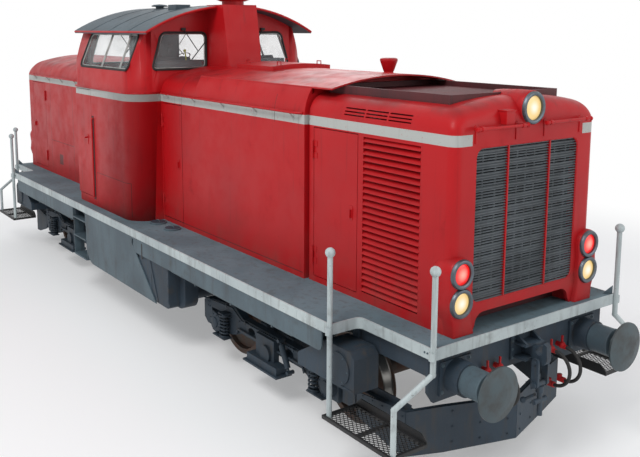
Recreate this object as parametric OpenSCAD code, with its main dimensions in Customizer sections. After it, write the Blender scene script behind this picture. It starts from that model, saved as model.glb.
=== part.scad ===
// Four-axle diesel locomotive with an off-centre cab, two bogies and a long hood at the front.
// X runs forward along the long hood, Y to the left and Z up. All sizes are millimetres.
// Heights with "above rail" are measured from the rail top; the origin lies at the flange tips.

/* [Overall] */
// Buffer face to the middle of the locomotive
buffer_face_x = 6050; // [5950:10:6300]
// Walkway height above rail
deck_top = 1391; // [1380:1:1410]
// Half width of the walkway
deck_half_w = 1590; // [1585:5:1640]
// Half width of the narrow walkway ends
deck_end_half_w = 1250; // [1240:5:1280]
// Distance from the middle at which the walkway narrows
deck_step_x = 4700; // [4690:5:4740]
// Distance from the middle to the end of the walkway
deck_end_x = 5644; // [5640:2:5680]

/* [Wheels and bogies] */
// Tread radius of the wheels
wheel_r = 475; // [460:1:485]
// Height of the wheel flanges
flange_h = 28; // [26:1:30]
// Distance between the inner faces of a pair of wheels
back_to_back = 1360; // [1355:1:1365]
// Width of a wheel rim
rim_width = 135; // [130:1:140]
// Distance from the middle to a bogie pivot
pivot_x = 3000; // [2980:10:3020]
// Distance between the two axles of a bogie
bogie_wheelbase = 2200; // [2180:10:2220]
// Diameter of the axle journals
journal_d = 130; // [120:1:140]
// Half distance between the bogie side frames' inner faces
bogie_in_half_w = 1020; // [1010:5:1030]
// Thickness of a bogie side frame
bogie_side_t = 90; // [80:1:100]

/* [Body] */
// Wall thickness of hoods and their doors
hood_wall = 40; // [30:1:50]
// Wall thickness of the cab and its doors
cab_wall = 45; // [35:1:50]
// Half width of the radiator hood
radiator_hood_half_w = 947; // [940:1:955]
// Half width of the engine hood
engine_hood_half_w = 987; // [980:1:995]
// Half width of the rear hood
rear_hood_half_w = 1003; // [995:1:1010]
// Half width of the cab
cab_half_w = 1425; // [1410:1:1440]
// Corner radius of the hoods
hood_corner_r = 280; // [260:1:300]
// Corner radius of the cab
cab_corner_r = 310; // [290:1:330]
// Width of the roof eaves from the middle
eave_half_w = 1317; // [1300:1:1340]
// Gap around every door leaf
door_gap = 8; // [7:0.5:10]

/* [Hidden] */
$fn = 48;

// Clearances
seat = 0.3;
run_gap = 1;

// Walkway and its rim
rail_z = flange_h;
deck_t = 40;
rim_h = 100;
rim_t = 12;
rim_lip = 4;
deck_corner_r = 40;
kink_r = 60;
deck_under = deck_top - deck_t;
rim_bottom = deck_top - rim_h;

// Hood stations along X, all from the middle of the locomotive
cab_x = [-2043, 170];
radiator_hood_x = [3506, 5529];
engine_hood_x = [cab_x[1] + seat, 3470];
// The rear hood is drawn in the mirror, so its distances are positive
rear_hood_x = [seat - cab_x[0], 5540];
hood_groove_half_w = 905;
shoulder_z = 3110;
hood_top_z = 3490;

// Cab heights above rail
lean_z = 3400;
side_lean = 0.42;
eave_z = 3961;
roof_rise = 350;
roof_t = 34;
roof_x = [-2087, 452];
cab_floor_z = 1500;
glass_t = 6;

// Bogie heights above rail
side_frame_top = 760;
pedestal_z = 600;
transom_z = [520, 680];
pin_d = 180;
pin_z = 550;
bolster_z = 860;
axle_half = bogie_wheelbase / 2;

// Colours
red = [0.70, 0.16, 0.17];
dark_red = [0.33, 0.13, 0.14];
deck_grey = [0.47, 0.53, 0.57];
light_grey = [0.72, 0.74, 0.73];
frame_grey = [0.30, 0.36, 0.40];
blue_grey = [0.22, 0.28, 0.34];
steel = [0.55, 0.55, 0.53];
black = [0.08, 0.08, 0.09];
roof_grey = [0.30, 0.34, 0.37];

// Shared shapes

// Everything inside stands on the rails: its own z counts from the rail top
module on_rail() {
    translate([0, 0, rail_z]) children();
}

module both_sides() {
    children();
    mirror([0, 1, 0]) children();
}

module both_ends() {
    children();
    mirror([1, 0, 0]) children();
}

// A box from its lowest corner to its highest corner
module block(low, high) {
    translate(low) cube(high - low);
}

// A cylinder whose axis lies along X, from x0 to x1
module bar_x(x0, x1, r, y, z) {
    translate([x0, y, z]) rotate([0, 90, 0]) cylinder(h = x1 - x0, r = r);
}

// A cylinder whose axis lies along Y, from y0 to y1
module bar_y(y0, y1, r, x, z) {
    translate([x, y1, z]) rotate([90, 0, 0]) cylinder(h = y1 - y0, r = r);
}

// A cylinder whose axis is upright, from z0 to z1
module bar_z(z0, z1, r, x, y) {
    translate([x, y, z0]) cylinder(h = z1 - z0, r = r);
}

// A round bar between two points
module rod(a, b, r) {
    d = b - a;
    len = norm(d);
    translate(a)
        rotate([0, acos(d[2] / len), atan2(d[1], d[0])])
            cylinder(h = len, r = r, $fn = 24);
}

// An outline in X and Z, drawn out along Y from y0 to y1
module slab_xz(y0, y1) {
    translate([0, y1, 0]) rotate([90, 0, 0]) linear_extrude(y1 - y0) children();
}

// An outline in Y and Z, drawn out along X from x0 to x1
module slab_yz(x0, x1) {
    translate([x0, 0, 0]) rotate([90, 0, 90]) linear_extrude(x1 - x0) children();
}

// A rectangle with rounded corners, from its lowest to its highest corner
module round_rect(low, high, r) {
    translate([low[0] + r, low[1]]) square([high[0] - low[0] - 2 * r, high[1] - low[1]]);
    translate([low[0], low[1] + r]) square([high[0] - low[0], high[1] - low[1] - 2 * r]);
    for (x = [low[0] + r, high[0] - r], y = [low[1] + r, high[1] - r])
        translate([x, y]) circle(r);
}

// Walkway outline, drawn in by g on every edge
module deck_outline(g) {
    square([2 * (deck_step_x - g), 2 * (deck_half_w - g)], center = true);
    round_rect([-deck_end_x + g, -deck_end_half_w + g], [deck_end_x - g, deck_end_half_w - g],
               deck_corner_r - g);
    for (sx = [-1, 1], sy = [-1, 1])
        scale([sx, sy])
            translate([deck_step_x - g, deck_end_half_w - g])
                difference() {
                    square(kink_r);
                    translate([kink_r, kink_r]) circle(kink_r);
                }
}

module deck() {
    color(deck_grey) on_rail()
        translate([0, 0, deck_under]) linear_extrude(deck_t) deck_outline(rim_t);
}

module deck_rim() {
    color(light_grey) on_rail()
        translate([0, 0, rim_bottom])
            linear_extrude(rim_h + rim_lip)
                difference() {
                    deck_outline(0);
                    deck_outline(rim_t);
                }
}

// Main frame: sills, bolsters with the bogie pins, cross members and buffer beams
sill_y = 480;
sill_w = 170;
sill_flange = 22;
sill_web = 16;
sill_bottom = 1010;
sill_x = 5470;
beam_x = [5500, 5530];
beam_half_w = 1190;

module sill_outline() {
    for (z = [sill_bottom, deck_under - sill_flange])
        translate([sill_y - sill_w / 2, z]) square([sill_w, sill_flange]);
    translate([sill_y - sill_web / 2, sill_bottom + sill_flange])
        square([sill_web, deck_under - sill_bottom - 2 * sill_flange]);
}

// Buffer beam outline: deep at the buffers and higher over the coupling
module beam_outline() {
    polygon([
        [-beam_half_w, rim_bottom + 30], [-beam_half_w, 950], [-1120, 850], [-620, 850], [-420, 950],
        [420, 950], [620, 850], [1120, 850], [beam_half_w, 950], [beam_half_w, rim_bottom + 30]
    ]);
}

module main_frame() {
    color(blue_grey) on_rail()
        both_ends() {
            both_sides() slab_yz(0, sill_x) sill_outline();
            // End box between the sills and the buffer beam
            block([sill_x, -sill_y - sill_w / 2, 1050], [beam_x[0], sill_y + sill_w / 2, deck_under]);
            slab_yz(beam_x[0], beam_x[1]) beam_outline();
            block([beam_x[0], -beam_half_w, rim_bottom + 30], [beam_x[1], beam_half_w, deck_under]);
            // Outer longitudinal members that carry the walkway's edge near the ends
            both_sides() {
                block([deck_step_x - 40, 1160, 1100], [beam_x[0], beam_half_w, deck_under]);
                block([deck_step_x - 40, sill_y + sill_w / 2, 1180], [deck_step_x, 1160, deck_under]);
            }
            // Bolster and bogie pin
            block([pivot_x - 260, -1150, bolster_z + 90], [pivot_x + 260, 1150, sill_bottom]);
            both_sides() {
                block([pivot_x - 260, sill_y + sill_w / 2, sill_bottom], [pivot_x + 260, 1150, deck_under]);
                block([pivot_x - 120, 700, bolster_z], [pivot_x + 120, 900, bolster_z + 90]);
            }
            bar_z(pin_z, bolster_z + 90, pin_d / 2, pivot_x, 0);
            // Cross members under the walkway
            for (x = [600, 1700, 4300])
                both_sides()
                    block([x, sill_y + sill_w / 2, 1180], [x + 16, valance_y[0], deck_under]);
        }
}

// Side valances: the plates behind the rim, with the lower tank panels
valance_t = 14;
valance_y = [deck_half_w - rim_t - seat - valance_t, deck_half_w - rim_t - seat];
valance_x = 4560;
valance_bottom = 1090;
valance_corner_r = 60;
step_x = [-1770, -1270];
panel_bottom = 560;
panel_x = [-1245, 300, 1104];
panel_corner_r = 260;
slot_x = 430;
slot_z = [1110, 1262];
slot_w = 42;

module valance_outline() {
    difference() {
        union() {
            round_rect([-valance_x, valance_bottom], [valance_x, rim_bottom + 40], valance_corner_r);
            translate([-valance_x, valance_bottom + valance_corner_r])
                square([2 * valance_x, deck_under - valance_bottom - valance_corner_r]);
        }
        translate([step_x[0], valance_bottom - 1]) square([step_x[1] - step_x[0], rim_bottom - valance_bottom + 1]);
        panel_area(4);
        translate([slot_x - slot_w / 2, slot_z[0] + slot_w / 2])
            square([slot_w, slot_z[1] - slot_z[0] - slot_w]);
        for (z = [slot_z[0] + slot_w / 2, slot_z[1] - slot_w / 2])
            translate([slot_x, z]) circle(slot_w / 2);
    }
}

// The tank panel: upright at the steps, rounded below and cut back at a slant in front
module panel_area(g) {
    difference() {
        polygon([
            [panel_x[0] - g, rim_bottom], [panel_x[0] - g, panel_bottom - g],
            [panel_x[2] + 1.2 * g, panel_bottom - g], [panel_x[1] + 1.2 * g, rim_bottom]
        ]);
        translate([panel_x[0] - g, panel_bottom - g])
            difference() {
                square(panel_corner_r);
                translate([panel_corner_r, panel_corner_r]) circle(panel_corner_r);
            }
    }
}

module side_valances() {
    color(frame_grey) on_rail()
        both_sides() {
            slab_xz(valance_y[0], valance_y[1]) valance_outline();
            slab_xz(valance_y[0], valance_y[1]) panel_area(0);
        }
}

// Fuel tank between the bogies, with its sloped outer sides behind the panels
tank_x = [-1150, 1380];
tank_side_x = 1600;
tank_z = [570, 1180];
tank_half_w = 1240;
tank_side_half_w = 1420;

module tank_outline(x1) {
    difference() {
        polygon([
            [tank_x[0], tank_z[1]], [tank_x[0], tank_z[0]], [x1, tank_z[0]], [x1, tank_z[1]]
        ]);
        translate([x1 - 150, tank_z[0]])
            difference() {
                square(150);
                translate([0, 150]) circle(150);
            }
    }
}

module fuel_tank() {
    color(blue_grey) on_rail() {
        difference() {
            slab_xz(-tank_half_w, tank_half_w) tank_outline(tank_x[1]);
            block([tank_x[0] - 1, -sill_y - sill_w / 2 - seat, sill_bottom - seat],
                  [tank_x[1] + 1, sill_y + sill_w / 2 + seat, tank_z[1] + 1]);
        }
        both_sides() {
            slab_xz(tank_half_w, tank_side_half_w) tank_outline(tank_side_x);
            // Carriers from the tank to the sills and the valance
            for (x = [-900, 0, 900]) {
                block([x, tank_side_half_w, 700], [x + 60, valance_y[0], 1100]);
                block([x, 600, tank_z[1]], [x + 60, 900, deck_under]);
            }
        }
        // Filler caps on the walkway and their necks
        both_sides()
            for (x = [330, 750])
                bar_z(deck_top, deck_top + 26, 98, x, 1150);
    }
}

// Steps below the cab doors
tread_z = [575, 870, 1150];
ladder_y = [1330, valance_y[0]];

module cab_steps() {
    color(frame_grey) on_rail()
        both_sides() {
            for (x = [step_x[0] - 14, step_x[1]])
                slab_xz(ladder_y[0] + 80, ladder_y[1])
                    translate([x, tread_z[0] - 20]) square([14, deck_under - tread_z[0] + 20]);
            for (z = tread_z)
                block([step_x[0], ladder_y[0], z - 20], [step_x[1], valance_y[1], z]);
        }
}

// Step trays at the four corners, hung on the handrail posts
tray_x = [4668, 5600];
tray_y = [1255, 1655];
tray_z = 547;
tray_rim = 34;
tray_bar = 28;

module end_steps() {
    color(black) on_rail()
        both_ends() both_sides() {
            difference() {
                block([tray_x[0], tray_y[0], tray_z - tray_rim], [tray_x[1], tray_y[1], tray_z]);
                for (i = [0, 1])
                    block([tray_x[0] + tray_bar + i * tray_bay, tray_y[0] + tray_bar, tray_z - tray_rim - 1],
                          [tray_x[0] + i * tray_bay + tray_bay, tray_y[1] - tray_bar, tray_z + 1]);
                post_holes();
            }
            // Grating sheet
            difference() {
                block([tray_x[0] + tray_bar, tray_y[0] + tray_bar, tray_z - 20],
                      [tray_x[1] - tray_bar, tray_y[1] - tray_bar, tray_z - 14]);
                post_holes();
            }
            // Raised rim at the back
            block([tray_x[0], tray_y[0] - 8, tray_z - tray_rim], [tray_x[1], tray_y[0], tray_z + 70]);
        }
}
tray_bay = (tray_x[1] - tray_x[0] - tray_bar) / 2;

module post_holes() {
    for (x = [post_1_x, post_2_foot_x])
        bar_z(tray_z - tray_rim - 1, tray_z + 1, post_r + seat, x, post_y);
}

// Handrail posts: a straight one at the deck's step, a cranked one at its corner
post_r = 25;
post_ball_r = 46;
post_top = 2060;
// Both posts stand just outside a corner of the rim, on its diagonal
post_off = (post_r + seat) * cos(45);
post_1_x = deck_step_x + post_off;
post_y = deck_half_w + post_off;
post_2_x = deck_end_x - deck_corner_r * (1 - cos(45)) + post_off;
post_2_y = deck_end_half_w - deck_corner_r * (1 - cos(45)) + post_off;
post_2_foot_x = 5572;
crank_z = [940, 1180];
clamp_h = 70;

module handrail_posts() {
    color(light_grey) on_rail()
        both_ends() both_sides() {
            bar_z(tray_z - 20, post_top, post_r, post_1_x, post_y);
            translate([post_1_x, post_y, post_top]) sphere(post_ball_r);
            bar_z(crank_z[1], post_top, post_r, post_2_x, post_2_y);
            translate([post_2_x, post_2_y, post_top]) sphere(post_ball_r);
            translate([post_2_x, post_2_y, crank_z[1]]) sphere(post_r + 2);
            rod([post_2_x, post_2_y, crank_z[1]], [post_2_foot_x, post_y, crank_z[0]], post_r);
            translate([post_2_foot_x, post_y, crank_z[0]]) sphere(post_r + 2);
            bar_z(tray_z - 20, crank_z[0], post_r, post_2_foot_x, post_y);
            // Clamps on the rim
            for (p = [[post_1_x, post_y], [post_2_x, post_2_y]])
                bar_z(rim_bottom + 15, rim_bottom + 15 + clamp_h, post_r + 7, p[0], p[1] + 10);
        }
}

// Buffers
buffer_y = 875;
buffer_z = 1050;
buffer_base_r = 150;
buffer_sleeve_r = 127;
buffer_plunger_r = 90;
buffer_head_r = 235;
sleeve_x = 5850;

module buffer_sleeves() {
    color(blue_grey) on_rail()
        both_ends() both_sides() {
            block([beam_x[1], buffer_y - 190, buffer_z - 150], [beam_x[1] + 18, buffer_y + 190, buffer_z + 150]);
            bar_x(beam_x[1] + 18, 5700, buffer_base_r, buffer_y, buffer_z);
            difference() {
                bar_x(5700, sleeve_x, buffer_sleeve_r, buffer_y, buffer_z);
                bar_x(5720, sleeve_x + 1, buffer_plunger_r + seat, buffer_y, buffer_z);
            }
        }
}

module buffer_heads() {
    color(steel) on_rail()
        both_ends() both_sides()
            translate([0, buffer_y, buffer_z]) rotate([0, 90, 0])
                rotate_extrude($fn = 96)
                    polygon([
                        [0, 5720], [buffer_plunger_r, 5720], [buffer_plunger_r, 5985],
                        [buffer_head_r - 25, 6000], [buffer_head_r, 6008], [buffer_head_r, 6024],
                        [buffer_head_r * 0.62, buffer_face_x - 9], [buffer_head_r * 0.3, buffer_face_x],
                        [0, buffer_face_x]
                    ]);
}

// Draw hook with its bracket and the screw coupling that hangs from it
hook_z = 1105;
hook_x = 5750;

module draw_gear() {
    color(blue_grey) on_rail()
        both_ends() {
            // Bracket with two ribs
            block([beam_x[1], -170, hook_z - 95], [beam_x[1] + 20, 170, hook_z + 150]);
            block([beam_x[1] + 20, -130, hook_z - 75], [5680, 130, hook_z - 55]);
            block([beam_x[1] + 20, -130, hook_z + 55], [5680, 130, hook_z + 75]);
            for (y = [-110, 90])
                slab_xz(y, y + 20)
                    polygon([[beam_x[1] + 20, hook_z + 75], [5680, hook_z + 75], [beam_x[1] + 20, hook_z + 150]]);
            // Hook: shank, throat and raised nose
            block([beam_x[1] + 20, -30, hook_z - 40], [5690, 30, hook_z + 40]);
            slab_xz(-30, 30)
                difference() {
                    union() {
                        translate([hook_x, hook_z - 20]) circle(90);
                        translate([5660, hook_z - 50]) square([90, 100]);
                        polygon([[5770, hook_z - 60], [5838, hook_z - 40], [5832, hook_z + 90], [5795, hook_z + 110]]);
                    }
                    translate([hook_x, hook_z + 20]) circle(38);
                    translate([hook_x - 5, hook_z + 20]) square([40, 90]);
                }
            coupling();
        }
}

// Screw coupling: pin through the hook, two links, screw with its T handle, shackle
module coupling() {
    bar_y(-95, 95, 20, hook_x, hook_z - 70);
    for (y = [-80, 56])
        slab_xz(y, y + 24)
            difference() {
                round_rect([hook_x - 38, 790], [hook_x + 38, hook_z - 35], 37);
                translate([hook_x, hook_z - 70]) circle(20);
            }
    bar_y(-100, 100, 28, hook_x, 822);
    rod([hook_x, 0, 840], [hook_x + 14, 0, 520], 24);
    bar_y(-85, 85, 24, hook_x + 7, 660);
    rod([hook_x - 40, 0, 700], [hook_x - 150, -30, 610], 14);
    translate([hook_x - 150, -30, 610]) sphere(30);
    bar_z(740, 800, 36, hook_x + 3, 0);
}

// Brake pipe cocks and their hoses, two pairs at each end
cock_y = [360, 520];
cock_z = 1010;
hose_r = 19;
hose_bow = 165;
hose_x = beam_x[1] + 110;
head_z = cock_z - 10 - 2 * hose_bow;

module brake_cocks() {
    color(red) on_rail()
        both_ends() both_sides()
            for (y = cock_y) {
                bar_x(beam_x[1], beam_x[1] + 60, 24, y, cock_z);
                translate([beam_x[1] + 60, y, cock_z]) sphere(34);
                block([beam_x[1] + 50, y - 8, cock_z + 20], [beam_x[1] + 66, y + 8, cock_z + 95]);
                bar_x(beam_x[1] + 60, hose_x, 22, y, cock_z - 10);
                // Coupling head at the lower end of the hose
                bar_x(hose_x - 70, hose_x, 28, y, head_z);
                bar_z(head_z - 14, head_z + 46, 24, hose_x - 60, y);
            }
}

module brake_hoses() {
    color(black) on_rail()
        both_ends() both_sides()
            for (y = cock_y)
                translate([hose_x, y, head_z + hose_bow])
                    rotate([90, 0, 0])
                        rotate([0, 0, -90])
                            rotate_extrude(angle = 180, $fn = 64)
                                translate([hose_bow, 0]) circle(hose_r, $fn = 24);
}

// Sandboxes under the walkway in front of the bogies
sand_x = [4080, 4500, 4930];
sand_y = [1215, 1500];
sand_z = [790, 910, 1170];

module sandboxes() {
    color(blue_grey) on_rail()
        both_ends() both_sides() {
            slab_xz(sand_y[0], sand_y[1])
                polygon([
                    [sand_x[0], sand_z[0]], [sand_x[2], sand_z[0]], [sand_x[2], sand_z[2] - 60],
                    [sand_x[2] - 60, sand_z[2]], [sand_x[1], sand_z[2]], [sand_x[0], sand_z[1]]
                ]);
            // Filler lid on the slope and the cover on the outer side
            translate([(sand_x[0] + sand_x[1]) / 2, (sand_y[0] + sand_y[1]) / 2, (sand_z[1] + sand_z[2]) / 2])
                rotate([0, -atan2(sand_z[2] - sand_z[1], sand_x[1] - sand_x[0]), 0])
                    cylinder(h = 26, r = 85);
            bar_y(sand_y[1], sand_y[1] + 12, 150, sand_x[2] - 210, sand_z[0] + 180);
            // Hanger to the frame
            block([4560, 1165, 1000], [4640, sand_y[0], deck_under]);
        }
}

// Hood shell shapes

// Radius of the crown over a hood, tangent to its shoulders
function crown_r(w, r) =
    let (a = w - r, s = hood_top_z - shoulder_z)
    (a * a + s * s - r * r) / (2 * (s - r));

// Cross-section of a hood, drawn in by t; z0 is its foot
module hood_section(w, t, z0) {
    r = hood_corner_r;
    a = w - r;
    rc = crown_r(w, r);
    half_angle = asin(a / (rc - r));
    translate([-(w - t), z0]) square([2 * (w - t), shoulder_z - z0]);
    for (y = [-a, a])
        translate([y, shoulder_z]) circle(r - t, $fn = 96);
    intersection() {
        translate([0, hood_top_z - rc]) circle(rc - t, $fn = 360);
        polygon([
            [-a, shoulder_z - 1], [a, shoulder_z - 1],
            [a + 600 * sin(half_angle), shoulder_z + 600 * cos(half_angle)],
            [-a - 600 * sin(half_angle), shoulder_z + 600 * cos(half_angle)]
        ]);
    }
}

// A closed hood form from x0 to x1, drawn in by t: its cross-section, cut to a plan with rounded
// corners and to a side view with a rounded upper edge at x1. The side view's top clears the crown.
end_over = 4;

module hood_form(w, x0, x1, t, z0) {
    r = hood_corner_r;
    top = hood_top_z + end_over - t;
    intersection() {
        slab_yz(x0, x1) hood_section(w, t, z0);
        translate([0, 0, z0 - 1])
            linear_extrude(hood_top_z - z0 + 100)
                round_rect([x0 - 2 * r, -w + t], [x1 - t, w - t], r - t);
        slab_xz(-w - 1, w + 1) {
            translate([x0 - 1, z0 - 1]) square([x1 - t - x0 + 1, top - r + t - z0 + 1]);
            translate([x0 - 1, z0 - 1]) square([x1 - r - x0 + 1, top - z0 + 1]);
            translate([x1 - r, top - r + t]) circle(r - t, $fn = 96);
        }
    }
}

// Door openings in the hoods: [first x, last x, low z, high z], hinges at the first x
engine_door = [215, 756, 1450, 3010];
radiator_door = [3580, 4285, 1450, 3010];
rear_door = [4561, 5255, 1450, 3010];
hood_foot = deck_top;

module door_hole(d, w) {
    both_sides() block([d[0], w - 200, d[2]], [d[1], w + 50, d[3]]);
}

// Hinge barrels of a door, at the heights of the leaf or of the frame
hinge_r = 11;
hinge_y = 13;
barrel_h = 60;

module frame_barrels(d, w) {
    both_sides()
        for (z = [d[2] + 200, d[3] - 260]) {
            bar_z(z, z + barrel_h, hinge_r, d[0], w + hinge_y);
            block([d[0] - 40, w, z], [d[0], w + 5, z + barrel_h]);
        }
}

// Radiator hood, with its grille opening, louvre openings and the fan well in its roof
grille_z = [1631, 3002];
grille_half_w = 688;
grille_r = 90;
louvre_x = [4340, 5150];
louvre_z = [1462, 3012];
well_x = [3640, 5120];
well_half_w = 590;

module radiator_hood() {
    x0 = radiator_hood_x[0];
    x1 = radiator_hood_x[1];
    w = radiator_hood_half_w;
    color(red) on_rail() {
        difference() {
            hood_form(w, x0, x1, 0, hood_foot);
            hood_form(w, x0 + hood_wall, x1, hood_wall, hood_foot - 1);
            slab_yz(x1 - 200, x1 + 10)
                round_rect([-grille_half_w, grille_z[0]], [grille_half_w, grille_z[1]], grille_r);
            foot_arch(x1);
            door_hole(radiator_door, w);
            both_sides()
                block([louvre_x[0], w - 100, louvre_z[0]], [louvre_x[1], w + 10, louvre_z[1]]);
            block([well_x[0], -well_half_w, 3300], [well_x[1], well_half_w, hood_top_z + 10]);
        }
        frame_barrels(radiator_door, w);
    }
}

// The arched gap under the grille
arch_half_w = 645;
arch_top = 1545;
arch_r = 110;
module foot_arch(x1) {
    slab_yz(x1 - 200, x1 + 10) {
        translate([-arch_half_w, hood_foot - 1]) square([2 * arch_half_w, arch_top - arch_r - hood_foot + 1]);
        translate([-arch_half_w + arch_r, hood_foot]) square([2 * (arch_half_w - arch_r), arch_top - hood_foot]);
        for (y = [-arch_half_w + arch_r, arch_half_w - arch_r])
            translate([y, arch_top - arch_r]) circle(arch_r);
    }
}

module engine_hood() {
    x0 = engine_hood_x[0];
    x1 = engine_hood_x[1];
    w = engine_hood_half_w;
    color(red) on_rail() {
        difference() {
            slab_yz(x0, x1) hood_section(w, 0, hood_foot);
            slab_yz(x0 - 1, x1 - hood_wall) hood_section(w, hood_wall, hood_foot - 1);
            door_hole(engine_door, w);
        }
        // Neck in the groove between the two hoods
        difference() {
            slab_yz(x1, radiator_hood_x[0] - seat) hood_section(hood_groove_half_w + 20, 30, hood_foot);
            slab_yz(x1 - 1, radiator_hood_x[0]) hood_section(hood_groove_half_w + 20, 60, hood_foot - 1);
        }
        frame_barrels(engine_door, w);
    }
}

module rear_hood() {
    x0 = rear_hood_x[0];
    x1 = rear_hood_x[1];
    w = rear_hood_half_w;
    color(red) on_rail()
        mirror([1, 0, 0]) {
            difference() {
                hood_form(w, x0, x1, 0, hood_foot);
                hood_form(w, x0 + hood_wall, x1, hood_wall, hood_foot - 1);
                foot_arch(x1);
                door_hole(rear_door, w);
            }
            frame_barrels(rear_door, w);
        }
}

// Engine as a plain mass at its real place
module engine_block() {
    color(steel) on_rail()
        block([700, -520, deck_top], [3100, 520, 2650]);
}

// Hood door leaves: the wall itself, with hinges and a handle
module hood_door(d, w) {
    color(red) on_rail() {
        block([d[0] + door_gap, w - hood_wall, d[2] + door_gap], [d[1] - door_gap, w, d[3] - door_gap]);
        for (z = [d[2] + 200, d[3] - 260]) {
            bar_z(z + barrel_h + 1, z + 2 * barrel_h, hinge_r, d[0], w + hinge_y);
            bar_z(z - barrel_h, z - 1, hinge_r, d[0], w + hinge_y);
            for (s = [z + barrel_h + 1, z - barrel_h])
                block([d[0], w, s], [d[0] + 60, w + 5, s + barrel_h - 1]);
        }
        // Sunk handle plate and its lever
        block([d[1] - 130, w, (d[2] + d[3]) / 2 - 70], [d[1] - 70, w + 4, (d[2] + d[3]) / 2 + 70]);
        block([d[1] - 112, w + 4, (d[2] + d[3]) / 2 - 50], [d[1] - 88, w + 26, (d[2] + d[3]) / 2 + 30]);
    }
}

// Radiator grille: mullions and horizontal ribs in a frame behind the opening
rib_pitch = 24;
rib_t = 5;
mullion_y = [-232, 232];

module radiator_grille() {
    x1 = radiator_hood_x[1];
    rib_count = floor((grille_z[1] - grille_z[0] - 40) / rib_pitch);
    color(steel) on_rail() {
        difference() {
            slab_yz(x1 - 38, x1 - 6)
                round_rect([-grille_half_w + seat, grille_z[0] + seat], [grille_half_w - seat, grille_z[1] - seat], grille_r);
            slab_yz(x1 - 39, x1)
                round_rect([-grille_half_w + 20, grille_z[0] + 20], [grille_half_w - 20, grille_z[1] - 20], grille_r - 20);
        }
        intersection() {
            for (i = [0 : rib_count])
                block([x1 - 26, -grille_half_w, grille_z[0] + 20 + i * rib_pitch],
                      [x1 - 10, grille_half_w, grille_z[0] + 20 + i * rib_pitch + rib_t]);
            slab_yz(x1 - 39, x1)
                round_rect([-grille_half_w + 19, grille_z[0] + 19], [grille_half_w - 19, grille_z[1] - 19], grille_r - 19);
        }
        for (y = mullion_y)
            block([x1 - 34, y - 14, grille_z[0] + 1], [x1 + 4, y + 14, grille_z[1] - 1]);
    }
}

// Side louvres of the radiator hood: slanted slats in a frame
slat_count = 25;

module side_louvres() {
    w = radiator_hood_half_w;
    pitch = (louvre_z[1] - louvre_z[0] - 40) / slat_count;
    color(red) on_rail()
        both_sides() {
            difference() {
                block([louvre_x[0] + seat, w - hood_wall, louvre_z[0] + seat], [louvre_x[1] - seat, w, louvre_z[1] - seat]);
                block([louvre_x[0] + 20, w - hood_wall - 1, louvre_z[0] + 20], [louvre_x[1] - 20, w + 1, louvre_z[1] - 20]);
            }
            for (i = [0 : slat_count - 1])
                translate([louvre_x[0] + 19, w - hood_wall + 4, louvre_z[0] + 20 + (i + 0.25) * pitch])
                    rotate([90, 0, 90])
                        linear_extrude(louvre_x[1] - louvre_x[0] - 38)
                            polygon([[0, 40], [5, 44], [42, 4], [42, 0], [37, 0]]);
        }
}

// Fan well: the coaming on the roof and the fan's spider inside it
fan_x = (well_x[0] + well_x[1]) / 2;
fan_r = 500;
fan_z = 3230;
coaming_top = 3500;

module fan_coaming() {
    color(dark_red) on_rail() {
        // Frame that stands on the roof round the well
        difference() {
            block([well_x[0] - 30, -well_half_w - 30, 3350], [well_x[1] + 30, well_half_w + 30, coaming_top]);
            block([well_x[0] + 12, -well_half_w + 12, 3340], [well_x[1] - 12, well_half_w - 12, coaming_top + 1]);
            slab_yz(well_x[0] - 50, well_x[1] + 50) hood_section(radiator_hood_half_w, -seat, hood_foot);
        }
        // Lining and floor of the well
        difference() {
            block([well_x[0] + seat, -well_half_w + seat, 3310], [well_x[1] - seat, well_half_w - seat, coaming_top]);
            block([well_x[0] + 12, -well_half_w + 12, 3330], [well_x[1] - 12, well_half_w - 12, coaming_top + 1]);
            bar_z(3300, 3400, fan_r + 20, fan_x, 0);
        }
        // Fan ring and the cross arms that carry its bearing
        difference() {
            bar_z(3130, 3310, fan_r + 34, fan_x, 0);
            bar_z(3129, 3311, fan_r + 20, fan_x, 0);
        }
        difference() {
            for (a = [0, 90])
                translate([fan_x, 0, 3130]) rotate([0, 0, a + 45])
                    block([-fan_r - 25, -20, 0], [fan_r + 25, 20, 50]);
            bar_z(3129, 3190, 31, fan_x, 0);
        }
    }
}

module cooling_fan() {
    color(steel) on_rail() {
        bar_z(3131, 3300, 30, fan_x, 0);
        bar_z(3180 + run_gap, 3290, 95, fan_x, 0);
        for (i = [0 : 7])
            translate([fan_x, 0, fan_z + 12])
                rotate([0, 0, i * 45])
                    translate([85, 0, 0])
                        rotate([32, 0, 0])
                            block([0, -70, -5], [fan_r - 95, 70, 5]);
    }
}

// Lamps: [y, z] of the red and the white ones, and the headlight
lamp_y = 869;
lamp_z = [1947, 1691];
lamp_r = 125;
lamp_face_x = 5591;
headlight_z = 3306;
headlight_r = 140;
headlight_face_x = 5560;

// The lamp housings of one end, set on a hood of half width w whose end is at x1
module lamp_set(w, x1) {
    both_sides()
        difference() {
            union() {
                for (z = lamp_z)
                    bar_x(x1 - 200, lamp_face_x - 20, lamp_r + 8, lamp_y, z);
                block([x1 - 200, lamp_y - 80, lamp_z[1]], [lamp_face_x - 30, lamp_y + 80, lamp_z[0]]);
            }
            translate([0, 0, hood_foot])
                linear_extrude(shoulder_z - hood_foot)
                    round_rect([x1 - 700, -w - seat], [x1 + seat, w + seat], hood_corner_r + seat);
        }
    difference() {
        bar_x(x1 - 200, headlight_face_x - 20, headlight_r + 14, 0, headlight_z);
        hood_form(w, x1 - 500, x1, -seat, hood_foot);
    }
}

module lamp_housings() {
    color(red) on_rail() {
        lamp_set(radiator_hood_half_w, radiator_hood_x[1]);
        mirror([1, 0, 0]) lamp_set(rear_hood_half_w, rear_hood_x[1]);
    }
}

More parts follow.
